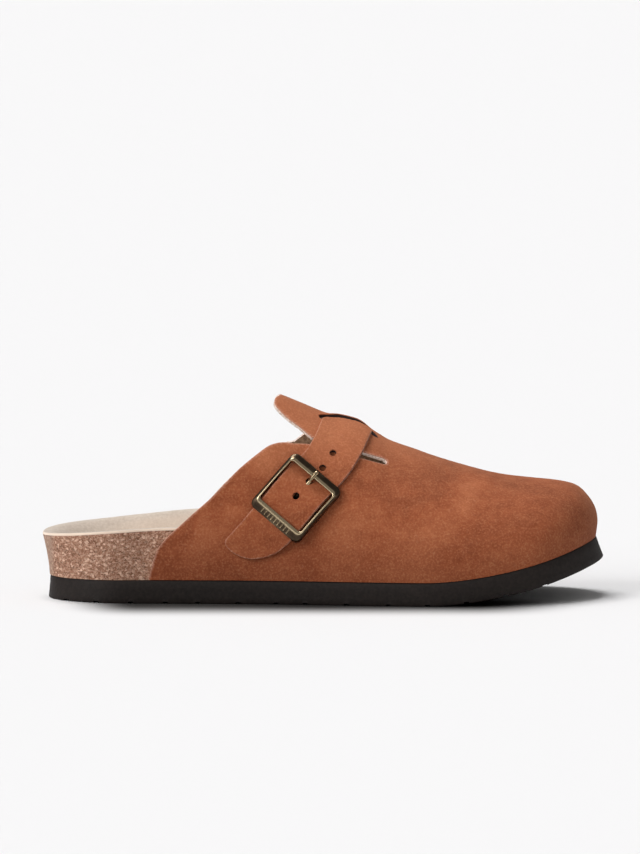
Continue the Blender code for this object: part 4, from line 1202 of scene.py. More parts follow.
@dataclass
class Strap:
    """Suede strap: from inside the medial wall out through the slot, over the pin and down to its end."""

    last: Last
    width: float = 23.8 * MM
    thickness: float = 2.0 * MM
    hole: float = 3.2 * MM
    pitch: float = 9.3 * MM
    holes: int = 4
    pin_place: float = 0.610
    pin: float = 1.6 * MM
    tab: float = 0.8 * MM
    tab_length: float = 20.0 * MM
    slot_width: float = 8.2 * MM
    tuck: float = 0.8 * MM
    # Lengths from the pin over which the strap rises, lies level and comes down, and its drop past the tab.
    rise_from: float = 16 * MM
    level: float = 2 * MM
    down_by: float = 13 * MM
    tab_end: float = 6 * MM
    spacing: float = 0.62 * MM
    path: np.ndarray = field(init=False)
    arc: np.ndarray = field(init=False)
    ridge: float = field(init=False)
    pin_arc: float = field(init=False)
    eye: float = field(init=False)
    pin_height: float = field(init=False)
    lift: float = field(init=False)
    slot_flat: np.ndarray = field(init=False)

    def __post_init__(self) -> None:
        """Work out the strap's middle line and its heights over the pin."""
        last = self.last
        inside_part = last.flat_path(STRAP_INSIDE)
        outside_part = last.flat_path(STRAP_OUTSIDE, Side.LATERAL)
        self.path = even_path(np.concatenate([inside_part, outside_part]), 90)
        spots, _ = last.skin(self.path)
        self.arc = np.concatenate(([0], np.cumsum(np.linalg.norm(np.diff(spots, axis=0), axis=1))))
        self.ridge = float(np.interp(0, -self.path[:, 1], self.arc))
        self.pin_arc = self.ridge + self.pin_place * (self.arc[-1] - self.ridge)
        self.eye = self.pin / 2 + last.gap + self.tab
        self.pin_height = last.gap + self.eye
        self.lift = self.pin_height + self.eye + last.gap
        self.slot_flat = last.flat_path(SLOT)

    def line(self, from_pin: np.ndarray) -> tuple[np.ndarray, np.ndarray, np.ndarray, np.ndarray]:
        """Follow the strap's middle line.

        Args:
            from_pin: arc lengths from the pin, positive towards the free end.

        Returns:
            The flat points, runs, sideways directions and normals there.
        """
        at = np.atleast_1d(from_pin) + self.pin_arc

        def flat_at(arc: np.ndarray) -> np.ndarray:
            """Read the flat path at arc lengths."""
            return np.stack([np.interp(arc, self.arc, self.path[:, k]) for k in (0, 1)], axis=1)

        run = self.last.skin(flat_at(at + 2 * MM))[0] - self.last.skin(flat_at(at - 2 * MM))[0]
        run /= np.linalg.norm(run, axis=1, keepdims=True)
        flat = flat_at(at)
        _, normal = self.last.skin(flat)
        return flat, run, np.cross(normal, run), normal

    def clearance(self, from_pin: np.ndarray) -> np.ndarray:
        """Work out the height of the strap's underside over the upper.

        Args:
            from_pin: arc lengths from the pin, positive towards the free end.

        Returns:
            The height at each place.
        """
        gap = self.last.gap
        tongue = 2 * gap + 2 * self.tab
        rising = gap + (self.lift - gap) * ease(from_pin, -self.rise_from, -self.level)
        falling = self.lift + (tongue - self.lift) * ease(from_pin, self.level, self.down_by)
        low = tongue + (gap - tongue) * ease(from_pin, self.tab_length + gap, self.tab_length + self.tab_end)
        return np.where(from_pin < 0, rising, np.where(from_pin < self.down_by, falling, low))

    def depth(self, flat: np.ndarray, from_pin: np.ndarray) -> np.ndarray:
        """Work out the height of the underside, which dives through the slot to the inside.

        Args:
            flat: flat points (metres, girth).
            from_pin: arc lengths from the pin, positive towards the free end.

        Returns:
            The height at each point, below zero inside the upper.
        """
        middle = np.interp(flat[:, 0], self.slot_flat[:, 0], self.slot_flat[:, 1])
        half_girth = np.linalg.norm(self.last.sample(self.last.slopes[1], flat), axis=1)
        from_slot = (flat[:, 1] - middle) * half_girth
        below = -(self.last.wall + self.tuck + self.thickness)
        share = np.clip(from_slot / (self.slot_width - 4 * self.last.gap) + 0.5, 0, 1)
        return self.clearance(from_pin) * (1 - share) + below * share

    def build(self, materials: Materials) -> Object:
        """Cut the strap with its punched holes and lay it in place.

        Args:
            materials: face, back, cut edge, and the near-black painted shade of the holes' walls.

        Returns:
            The object.
        """
        start, end = -self.pin_arc, self.arc[-1] - self.pin_arc
        half = self.width / 2
        unit = self.spacing
        across = np.linspace(1, -1, 60)
        drop = STRAP_TIP["drop"]
        tip = end - self.width * spline(STRAP_TIP["across"], drop, across)
        out = np.arange(start, end - drop[-1] * self.width, unit)
        back = np.arange(end - drop[0] * self.width - unit, start, -unit)
        root = np.linspace(-half, half, 32)[1:-1]
        outline = np.concatenate([
            np.stack([out, np.full_like(out, half)], axis=1),
            np.stack([tip, across * half], axis=1),
            np.stack([back, np.full_like(back, -half)], axis=1),
            np.stack([np.full_like(root, start), root], axis=1),
        ])
        angles = np.radians(np.arange(0, 360, 12))
        circle = np.stack([np.cos(angles), np.sin(angles)], axis=1) * self.hole / 2
        rings = [circle - (self.pitch * k, 0) for k in range(self.holes)]
        grid = np.meshgrid(np.arange(start + unit, end, unit), np.arange(-half + unit, half - unit / 2, unit),
                           indexing="ij")
        free = np.stack([grid[0].ravel(), grid[1].ravel()], axis=1)

        def keep(centres: np.ndarray) -> np.ndarray:
            """Accept what lies on the leather.

            Args:
                centres: flat points.

            Returns:
                A boolean for each point.
            """
            on = inside(centres, outline)
            for ring in rings:
                on &= ~inside(centres, ring)
            return on

        lines = np.concatenate([outline, *rings])
        near = np.array([np.min(np.hypot(*(lines - spot).T)) for spot in free])
        clear = 0.6 * unit
        free = free[(near > clear) & keep(free)]
        # A row of points beside each cut lets the edge round off.
        run = np.roll(outline, -1, 0) - np.roll(outline, 1, 0)
        extra = [outline + run[:, ::-1] * (s, -s) * 0.25 for s in (0.8, -0.8)]
        extra += [ring + (ring - ring.mean(axis=0)) * 0.18 for ring in rings]
        extra = np.concatenate(extra)
        free = np.concatenate([free, extra[keep(extra)]])
        spots, faces = triangulate(free / unit, [outline / unit] + [ring / unit for ring in rings],
                                   lambda centres: keep(centres * unit))
        surface = self.lay(spots * unit)
        edges = [self.lay(np.vstack([loop, loop[:1]])).points for loop in (outline, *rings)]
        distance = edge_distance(surface.points, edges)
        to_hole = edge_distance(surface.points, edges[1:])
        # The holes' walls get the near-black painted shade.
        pale = np.where(to_hole < self.hole / 2, 0.0, 0.7)
        made = leather("strap_suede_band", SheetSurface(surface.points, surface.normals, faces, distance),
                       self.thickness, materials, pale)
        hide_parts("strap")
        return made

    def lay(self, spots: np.ndarray) -> SheetSurface:
        """Lay places of the flat strap on the shoe.

        Args:
            spots: places on the strap (arc from the pin, metres across).

        Returns:
            Points and normals of its upper face.
        """
        flat, run, sideways, _ = self.line(spots[:, 0])
        moved = self.last.moved(flat, sideways * spots[:, 1:])
        base, normal = self.last.skin(moved)
        top = self.depth(moved, spots[:, 0]) + self.thickness
        points = self.last.place(base + normal * top[:, None])
        step = 0.4 * MM
        ahead_flat, _, ahead_side, _ = self.line(spots[:, 0] + step)
        ahead_moved = self.last.moved(ahead_flat, ahead_side * spots[:, 1:])
        ahead_base, ahead_normal = self.last.skin(ahead_moved)
        ahead_top = self.depth(ahead_moved, spots[:, 0] + step) + self.thickness
        along = self.last.place(ahead_base + ahead_normal * ahead_top[:, None]) - points
        tilted = np.cross(along, sideways)
        tilted *= np.sign((tilted * normal).sum(1, keepdims=True))
        tilted /= np.maximum(np.linalg.norm(tilted, axis=1, keepdims=True), 1e-12)
        return SheetSurface(points, tilted, [], np.zeros(len(points)))


@dataclass
class RingBody:
    """A body of rings on the shoe's plan outline, bridged from its lower middle to its upper middle."""

    last: Last
    steps: int = 110
    # Shares of the way out between which the bed rises from its floor to its rim.
    rise_from: float = 0.42
    rise_to: float = 0.92

    def ring(self, bm: BMesh, inset: Inset, scale: float,
             height: Height) -> list[BMEdge]:
        """Add a ring on the plan outline.

        Args:
            bm: mesh to add to.
            inset: function of the station share and side.
            scale: share of the way out from the middle line.
            height: function of x, the station share, the side and the scale.

        Returns:
            The ring's edges.
        """
        last = self.last
        turned = np.linspace(0, 1, self.steps + 1)
        stations = station_of(turned)
        end = last.ball_width / 3
        spine = np.clip(stations * last.sole_length, end, last.sole_length - end)
        share = spine / last.sole_length
        middle = (read(OUTLINE, "lateral", share) + read(OUTLINE, "medial", share)) * last.ball_width / 2
        places = []
        for side in Side:
            line_x, line_y, line_station = last.plan_line(side, inset)
            x = spine + (np.interp(turned, turn(line_station), line_x) - spine) * scale
            y = middle + (np.interp(turned, turn(line_station), line_y) - middle) * scale
            z = height(x, stations, side, scale)
            points = last.place(np.stack([x, y, z], axis=1))
            places += list(points) if side is Side.LATERAL else list(points[-2:0:-1])
        made = bmesh.ops.create_circle(bm, cap_ends=False, radius=1, segments=len(places))
        for vert, place in zip(made["verts"], places):
            vert.co = place
        return list({edge for vert in made["verts"] for edge in vert.link_edges})

    def bridged(self, *rings: tuple[Inset, float, Height]) -> BMesh:
        """Bridge rings into a closed mesh.

        Args:
            rings: inset, scale and height of each ring.

        Returns:
            The mesh.
        """
        bm = bmesh.new()
        loops = [self.ring(bm, *ring) for ring in rings]
        for near, far in zip(loops, loops[1:]):
            bmesh.ops.bridge_loops(bm, edges=near + far)
        bmesh.ops.remove_doubles(bm, verts=bm.verts, dist=0.01 * MM)
        bmesh.ops.dissolve_degenerate(bm, edges=bm.edges, dist=0.01 * MM)
        bmesh.ops.recalc_face_normals(bm, faces=bm.faces)
        return bm

    def bed(self, x: np.ndarray, share: np.ndarray, side: Side, scale: float) -> np.ndarray:
        """Work out the height of the lining's face: a flat floor that rises smoothly to the rim.

        Args:
            x: distances from the heel.
            share: station shares.
            side: side of the shoe.
            scale: share of the way out from the middle line.

        Returns:
            The heights.
        """
        rim = read(BED, f"{side.value}_rim", share)
        floor_here = read(BED, "floor", np.clip(x / self.last.sole_length, 0, 1))
        ramp_here = float(ease(scale, self.rise_from, self.rise_to))
        rise = floor_here + (rim - floor_here) * ramp_here
        return self.last.sole_top(np.minimum(x, self.last.sole_length)) + rise * self.last.bed_rise

    def below(self, depth: float) -> Height:
        """Make a height that lies under the lining's face.

        Args:
            depth: depth square to the face's slope.

        Returns:
            The height function.
        """
        step, steepest = 0.01, 1.6

        def height(x: np.ndarray, share: np.ndarray, side: Side, scale: float) -> np.ndarray:
            """Lower the face.

            Args:
                x: distances from the heel.
                share: station shares.
                side: side of the shoe.
                scale: share of the way out from the middle line.

            Returns:
                The heights.
            """
            rise = self.bed(x, share, side, scale + step) - self.bed(x, share, side, scale - step)
            slope = rise / (2 * step * self.last.ball_width / 3)
            return self.bed(x, share, side, scale) - depth * np.minimum(np.hypot(1, slope), steepest)

        return height

    def foot_inset(self, station: np.ndarray, side: Side) -> np.ndarray:
        """Work out the inset of the cork's foot: proud at the bare heel, inside the wall elsewhere.

        Args:
            station: station shares.
            side: side of the shoe.

        Returns:
            The insets.
        """
        last = self.last
        cover = np.clip(read(BED, "cover", station), 0, 1)
        return last.lean(station) - last.heel_proud + cover * (
            last.heel_proud + last.setback + last.wall + last.curved_fit)

    def flank(self, part: float) -> Inset:
        """Make the inset of the cork's edge.

        Args:
            part: share of the way up to its rim.

        Returns:
            The inset function.
        """
        last = self.last

        def inset(station: np.ndarray, side: Side) -> np.ndarray:
            """Lean the cork in with the upper, and out at the bare heel.

            Args:
                station: station shares.
                side: side of the shoe.

            Returns:
                The insets.
            """
            cover = np.clip(read(BED, "cover", station), 0, 1)
            rises = read(BED, f"{side.value}_rim", station) * last.bed_rise * part
            line_x, line_y, _ = last.feather[side]
            slope = np.gradient(line_y, line_x + np.arange(len(line_x)) * 1e-6)
            room = []
            for share, rise in zip(station, rises):
                x = min(max(share, last.pattern_start) * last.sole_length, last.length * 0.999)
                y, z = last.half_section(x, side, 28)
                lean_in = abs(y[-1]) - abs(float(np.interp(-(z[-1] + rise), -z, y)))
                room.append(max(lean_in, 0) / math.hypot(1, float(np.interp(x, line_x, slope))))
            return self.foot_inset(station, side) + cover * np.array(room) - (
                last.heel_flare * (1 - cover) * part ** 1.5)

        return inset


@dataclass
class Outsole(RingBody):
    """Moulded foam outsole with a leaning edge, toe spring, tread grooves and a waved tread."""

    groove_width: float = 2.4 * MM
    groove_depth: float = 1.0 * MM
    shallow_from: float = 0.85
    shallow: float = 0.4
    rib_width: float = 1.1 * MM
    rib_depth: float = 0.6 * MM
    rib_swing: float = 1.6 * MM
    edge_round: float = 0.5 * MM
    round_share: float = 0.05
    hollow: float = 0.12 * MM
    wave: float = 7.0 * MM

    def build(self, material: Material) -> Object:
        """Build the sole.

        Args:
            material: foam rubber.

        Returns:
            The object.
        """
        last = self.last

        def level(part: float) -> tuple[Inset, Height]:
            """Make the edge of the sole at one level.

            Args:
                part: share of the way up the edge.

            Returns:
                The inset and height functions.
            """
            near_edge = max(0, 1 - part / self.round_share, 1 - (1 - part) / self.round_share)
            drawn_in = near_edge ** 2 * self.edge_round + self.hollow * math.sin(math.pi * part)

            def height(x: np.ndarray, share: np.ndarray, side: Side, scale: float) -> np.ndarray:
                """Return the height of the ring."""
                return last.sole_bottom(x) + last.sole_thickness * part

            def inset(station: np.ndarray, side: Side) -> np.ndarray:
                """Return the inset of the ring, rounded at both edges."""
                return last.lean(station) * part + drawn_in

            return inset, height

        bottom_inset, bottom = level(0.0)
        rings = [(bottom_inset, scale, bottom) for scale in (0.0, 0.3, 0.6, 0.9)]
        for part in (0.0, 0.02, 0.05, 0.3, 0.6, 0.95, 0.98, 1.0):
            inset, height = level(part)
            rings.append((inset, 1.0, height))
        top_inset, top = level(1.0)
        rings += [(top_inset, scale, top) for scale in (0.6, 0.0)]
        bm = self.bridged(*rings)
        made = link("outsole_foam", bm, material)
        self.cut_tread(made)
        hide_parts("outsole")
        return made

    def cut_tread(self, sole: Object) -> None:
        """Cut the long grooves, and the fine waved ones between them, out of the tread.

        Args:
            sole: the sole, which gets the cut mesh.
        """
        last = self.last
        bm = bmesh.new()
        for share in GROOVES:
            depth = self.groove_depth * (1 if share < self.shallow_from else self.shallow)
            self.groove(bm, share * last.sole_length, self.groove_width, depth, 1.2 * last.ball_width, 0)
        for share, after in zip(GROOVES, GROOVES[1:]):
            middle = (share + after) / 2 * last.sole_length
            self.groove(bm, middle, self.rib_width, self.rib_depth, 0.62 * last.ball_width, self.rib_swing)
        cutter = placed("tread_cutter", bm)
        change = sole.modifiers.new("Tread", "BOOLEAN")
        change.object = cutter
        change.solver = "EXACT"
        depsgraph = bpy.context.evaluated_depsgraph_get()
        cut = bpy.data.meshes.new_from_object(sole.evaluated_get(depsgraph))
        sole.modifiers.clear()
        sole.data = cut
        cut.shade_smooth()
        cut.set_sharp_from_angle(angle=math.radians(40))
        bpy.data.objects.remove(cutter, do_unlink=True)

    def groove(self, bm: BMesh, x: float, width: float, depth: float, length: float,
               swing: float) -> None:
        """Add a groove cutter across the tread.

        Args:
            bm: mesh to add to.
            x: distance from the heel.
            width: width of the groove.
            depth: depth of the groove.
            length: its length across the shoe.
            swing: how far it waves, 0 for a straight one.
        """
        last = self.last
        slope = float(last.sole_bottom(x + MM) - last.sole_bottom(x - MM)) / (2 * MM)
        others = len(bm.verts)
        made = bmesh.ops.create_cube(bm, size=1)
        edges = [e for e in {e for v in made["verts"] for e in v.link_edges}
                 if abs(e.verts[0].co.y - e.verts[1].co.y) > 0.5]
        if swing:
            bmesh.ops.subdivide_edges(bm, edges=edges, cuts=20, use_grid_fill=True)
        bm.verts.ensure_lookup_table()
        turned = Matrix.Rotation(-math.atan(slope), 4, "Y")
        centre = Vector(last.place(np.array((x, 0.0, float(last.sole_bottom(x)) - depth))))
        for vert in bm.verts[others:]:
            sway = swing * math.sin(vert.co.y * length / self.wave * math.tau / 2)
            local = Vector((vert.co.x * width + sway, vert.co.y * length, vert.co.z * depth * 4))
            vert.co = centre + turned @ local


@dataclass
class Footbed(RingBody):
    """Cork footbed under its suede lining."""

    lining: float = 1.2 * MM
    glue: float = 0.05 * MM

    def build(self, cork: Material, suede: Material) -> list[Object]:
        """Build the cork and the lining.

        Args:
            cork: pressed cork.
            suede: lining suede.

        Returns:
            The two objects.
        """
        last = self.last
        scales = (0.0, 0.15, 0.30, 0.42, 0.48, 0.54, 0.60, 0.66, 0.72, 0.78, 0.84, 0.89, 0.94, 0.975, 1.0)
        lowered = self.below(self.lining + self.glue)

        def foot(x: np.ndarray, share: np.ndarray, side: Side, scale: float) -> np.ndarray:
            """Return the height of the cork's foot."""
            return last.sole_top(x) + self.glue

        def between(low: Height, high: Height, part: float) -> Height:
            """Make a height between two others.

            Args:
                low: lower height.
                high: upper height.
                part: share of the way up.

            Returns:
                The height function.
            """

            def height(x: np.ndarray, share: np.ndarray, side: Side, scale: float) -> np.ndarray:
                """Return the height of the ring."""
                under = low(x, share, side, scale)
                return under + (high(x, share, side, scale) - under) * part

            return height

        rings = [(self.foot_inset, 0.0, foot), (self.foot_inset, 0.5, foot)]
        rings += [(self.flank(part), 1.0, between(foot, lowered, part))
                  for part in (0.0, 0.2, 0.4, 0.6, 0.8, 0.95)]
        rim = self.flank(1.0)
        rings += [(rim, scale, lowered) for scale in reversed(scales)]
        bed = link("footbed_cork", self.bridged(*rings), cork)
        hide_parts("footbed")
        under, over = self.below(self.lining), self.bed

        def rim_in(amount: float) -> Inset:
            """Return the rim's inset moved in by an amount."""
            return lambda station, side: rim(station, side) + amount

        rings = [(rim, scale, under) for scale in scales]
        rings += [(rim, 1.0, between(under, over, 0.35)), (rim_in(0.1 * MM), 1.0, between(under, over, 0.75))]
        rings += [(rim_in(0.45 * MM), scale, over) for scale in reversed(scales)]
        bm = self.bridged(*rings)
        edge = bm.verts.layers.float.new("edge")
        for vert in bm.verts:
            flattest = 0.75
            vert[edge] = max(0.0, 1 - min((abs(f.normal.z) for f in vert.link_faces), default=1) / flattest)
        lining = link("insole_lining", bm, suede)
        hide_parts("insole")
        return [bed, lining]


@dataclass
class Buckle:
    """Square antique buckle bent with the strap: frame, pivot pin and prong."""

    strap: Strap
    window: float = 24.2 * MM
    bar_upper: float = 4.2 * MM
    bar_lower: float = 5.2 * MM
    bar_side: float = 1.0 * MM
    rim: float = 1.0 * MM
    corner: float = 3.2 * MM
    prong: float = 2.1 * MM
    ribs: int = 9
    clearance: float = 1.2 * MM
    prong_polish: float = 0.55
    rib_polish: float = 0.5
    rib_pitch: float = 2.0 * MM
    # The outer edge's drop below the rim at the window's ends and quarters, in millimetres.
    drops: tuple[float, float, float, float] = (1.5, 1.7, 1.7, 1.1)
    origin: np.ndarray = field(init=False)
    normal: np.ndarray = field(init=False)
    run: np.ndarray = field(init=False)
    side: np.ndarray = field(init=False)
    bend: float = field(init=False)
    top: float = field(init=False)
    base: float = field(init=False)
    half: float = field(init=False)

    def __post_init__(self) -> None:
        """Work out the buckle's local axes and its bend along the strap."""
        flat, run, _, normal = self.strap.line(np.array([0.0]))
        self.origin = self.strap.last.skin(flat)[0][0]
        self.normal = normal[0]
        run = run[0] - self.normal * float(run[0] @ self.normal)
        self.run = run / np.linalg.norm(run)
        self.side = np.cross(self.normal, self.run)
        reach = self.window / 2
        ends = self.strap.last.skin(self.strap.line(np.array([-reach, reach]))[0])[0]
        self.bend = float(((ends - self.origin) @ self.normal).mean()) / reach ** 2
        self.top = self.strap.lift + self.strap.thickness
        self.base = self.strap.pin_height - self.strap.pin / 2
        self.half = self.strap.width / 2 + self.clearance

    def spot(self, along: float, across: float, height: float) -> Vector:
        """Find a place in the buckle's bent space.

        Args:
            along: metres along the strap from the pin.
            across: metres across the strap.
            height: metres above the upper.

        Returns:
            The place in the part's frame.
        """
        point = self.origin + self.run * along + self.side * across
        point = point + self.normal * (height + self.bend * along * along)
        return Vector(self.strap.last.place(point))

    def outline(self, low: float, high: float, half: float, radius: float,
                steps: int = 6) -> list[tuple[float, float]]:
        """Draw a rectangle with round corners and divided sides.

        Args:
            low: its lower end along the strap.
            high: its upper end.
            half: half of its width.
            radius: radius of its corners.
            steps: stretches in a corner.

        Returns:
            Its (along, across) points.
        """
        points = []
        corners = ((high - radius, half - radius, 0), (low + radius, half - radius, 90),
                   (low + radius, radius - half, 180), (high - radius, radius - half, 270))
        for along, across, start in corners:
            for k in range(steps + 1):
                angle = math.radians(start + 90 * k / steps)
                points.append((along + radius * math.cos(angle), across + radius * math.sin(angle)))
        dense = []
        for k, (here, there) in enumerate(zip(points, points[1:] + points[:1])):
            parts = 14 if k % (steps + 1) == steps else 1
            dense += [tuple(a + (b - a) * n / parts for a, b in zip(here, there)) for n in range(parts)]
        return dense

    def floor(self, along: float, across: float) -> float:
        """Work out the frame's underside: over the strap on the end bars, down to the pin on the sides.

        Args:
            along: metres along the strap from the pin.
            across: metres across the strap.

        Returns:
            Its height above the upper.
        """
        strap, last = self.strap, self.strap.last
        over = float(strap.clearance(np.array([along]))[0]) + strap.thickness + 2 * last.gap
        flat = strap.line(np.array([along]))[0]
        rise = float((last.skin(flat)[0][0] - self.origin) @ self.normal) - self.bend * along * along
        side = float(ease(abs(across), self.half - 0.9 * MM, self.half - 0.1 * MM))
        return min(self.top - 1.2 * MM, (over + rise) * (1 - side) + self.base * side)

    def build(self, brass: Material) -> list[Object]:
        """Build the frame with its pin, and the prong.

        Args:
            brass: antique brass.

        Returns:
            The two objects.
        """
        half_window = self.window / 2
        low, high = -half_window - self.bar_upper, half_window + self.bar_lower
        outer_half = self.half + self.bar_side + self.rim

        def ring(share: float) -> list[tuple[float, float]]:
            """Draw an outline between the window and the outer edge.

            Args:
                share: share of the way out.

            Returns:
                Its (along, across) points.
            """
            return self.outline(-half_window + (low + half_window) * share,
                                half_window + (high - half_window) * share,
                                self.half + (outer_half - self.half) * share,
                                self.corner / 2 + (self.corner / 2) * share)

        def shoulder(along: float) -> float:
            """Return how far the outer edge lies below the rim."""
            quarters = (-half_window, -half_window / 2, half_window / 2, half_window)
            return float(np.interp(along, quarters, self.drops)) * MM

        # Share of the way out, share of the shoulder's drop (None: the underside) and polish of each ring.
        profile = ((0.00, None, 0.2), (0.00, 0.55, 0.9), (0.06, 0.15, 1.0), (0.16, 0.00, 1.0),
                   (0.30, 0.06, 0.85), (0.42, 0.30, 0.30), (0.70, 0.62, 0.10), (0.92, 0.90, 0.30),
                   (1.00, 1.30, 0.25), (1.00, None, 0.0))
        bm = bmesh.new()
        polish = bm.verts.layers.float.new("polish")
        loops = []
        for share, drop, shine in profile:
            spots = ring(share)
            made = bmesh.ops.create_circle(bm, cap_ends=False, radius=1, segments=len(spots))["verts"]
            for vert, (along, across) in zip(made, spots):
                lowest = self.floor(along, across)
                if drop is None:
                    height = lowest
                elif share < 0.3:
                    height = self.top - drop * 0.5 * MM
                else:
                    height = max(self.top - shoulder(along) * drop, lowest + 0.2 * MM)
                vert.co = self.spot(along, across, height)
                on_end = abs(along) > half_window
                vert[polish] = shine * (1.0 if not on_end or share < 0.35 else 0.45)
            loops.append(list({edge for vert in made for edge in vert.link_edges}))
        for near, far in zip(loops, loops[1:] + loops[:1]):
            bmesh.ops.bridge_loops(bm, edges=near + far)
        pin_half = self.half + self.bar_side
        pin = [self.spot(0, across, self.strap.pin_height) for across in np.linspace(-pin_half, pin_half, 5)]
        self.add_bar(bm, pin, [self.strap.pin / 2] * len(pin))
        lift = self.top - shoulder(high) * 0.62
        start, end = half_window + self.bar_lower * 0.42, half_window + self.bar_lower * 0.84
        for k in range(self.ribs):
            across = (k - (self.ribs - 1) / 2) * self.rib_pitch
            others = len(bm.verts)
            self.add_bar(bm, [self.spot(along, across, lift) for along in (start, (start + end) / 2, end)],
                         [0.40 * MM, 0.52 * MM, 0.40 * MM], 8)
            bm.verts.ensure_lookup_table()
            for vert in bm.verts[others:]:
                vert[polish] = self.rib_polish
        bmesh.ops.recalc_face_normals(bm, faces=bm.faces)
        body = link("buckle_frame_brass", bm, brass, sharp=50)
        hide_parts("buckle_frame")
        return [body, self.build_prong(brass)]

    def build_prong(self, brass: Material) -> Object:
        """Build the prong with its eye on the pin and its rounded tip on the upper bar.

        Args:
            brass: antique brass.

        Returns:
            The object.
        """
        strap, half = self.strap, self.window / 2
        rest = self.top - self.prong * 0.25
        over_pin = strap.pin_height + strap.pin / 2 + strap.last.gap
        crest = over_pin + self.prong / 2
        # Middle line of the prong, as (along, height): out of its eye, up through the hole, onto the bar.
        knots = ((0.0, over_pin + self.prong * 0.3), (-half * 0.24, crest * 0.86),
                 (-half * 0.49, crest * 0.92), (-strap.pitch, crest * 0.98),
                 (-half + strap.last.gap, rest * 0.99),
                 (-half - self.bar_upper * 0.5, rest + self.prong * 0.16),
                 (-half - self.bar_upper * 0.86, rest + self.prong * 0.05))
        arc = np.concatenate(([0], np.cumsum([math.dist(a, b) for a, b in zip(knots, knots[1:])])))
        at = np.linspace(0, arc[-1], 34)
        along = spline(arc, np.array([k[0] for k in knots]), at)
        height = spline(arc, np.array([k[1] for k in knots]), at)
        tip = np.sqrt(np.clip(1 - ((at - arc[-1] + 0.8 * MM).clip(0) / (0.82 * MM)) ** 2, 0, 1))
        points = [self.spot(float(a), 0, float(h)) for a, h in zip(along, height)]
        bm = bmesh.new()
        polish = bm.verts.layers.float.new("polish")
        self.add_bar(bm, points, list(self.prong / 2 * np.maximum(tip, 0.15)), 20)
        hidden = self.spot(-half * 0.6, 0, crest).z
        eye = [self.spot(strap.eye * 0.72 * math.cos(a), 0, strap.pin_height + strap.eye * 0.72 * math.sin(a))
               for a in np.linspace(math.radians(100), math.radians(400), 18)]
        self.add_bar(bm, eye, [self.prong * 0.3] * len(eye), 12)
        for vert in bm.verts:
            vert[polish] = self.prong_polish if vert.co.z > hidden else 0.0
        bmesh.ops.recalc_face_normals(bm, faces=bm.faces)
        made = link("buckle_prong_brass", bm, brass, sharp=60)
        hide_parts("buckle_prong")
        return made

    def add_bar(self, bm: BMesh, points: list[Vector], radii: list[float],
                segments: int = 16) -> None:
        """Add a round bar.

        Args:
            bm: mesh to add to.
            points: points of its middle line.
            radii: radius at each point.
            segments: sides of the bar.
        """
        loops = []
        for k, (point, radius) in enumerate(zip(points, radii)):
            run = (points[min(k + 1, len(points) - 1)] - points[max(k - 1, 0)]).normalized()
            across = Vector(self.normal).cross(run)
            if across.length < 0.2:
                across = Vector(self.side)
            across.normalize()
            axes = Matrix((across, run.cross(across), run)).transposed().to_4x4()
            made = bmesh.ops.create_circle(
                bm, cap_ends=k in (0, len(points) - 1), radius=float(radius), segments=segments,
                matrix=Matrix.Translation(point) @ axes)["verts"]
            loops.append(list({edge for vert in made for edge in vert.link_edges}))
        for near, far in zip(loops, loops[1:]):
            bmesh.ops.bridge_loops(bm, edges=near + far)


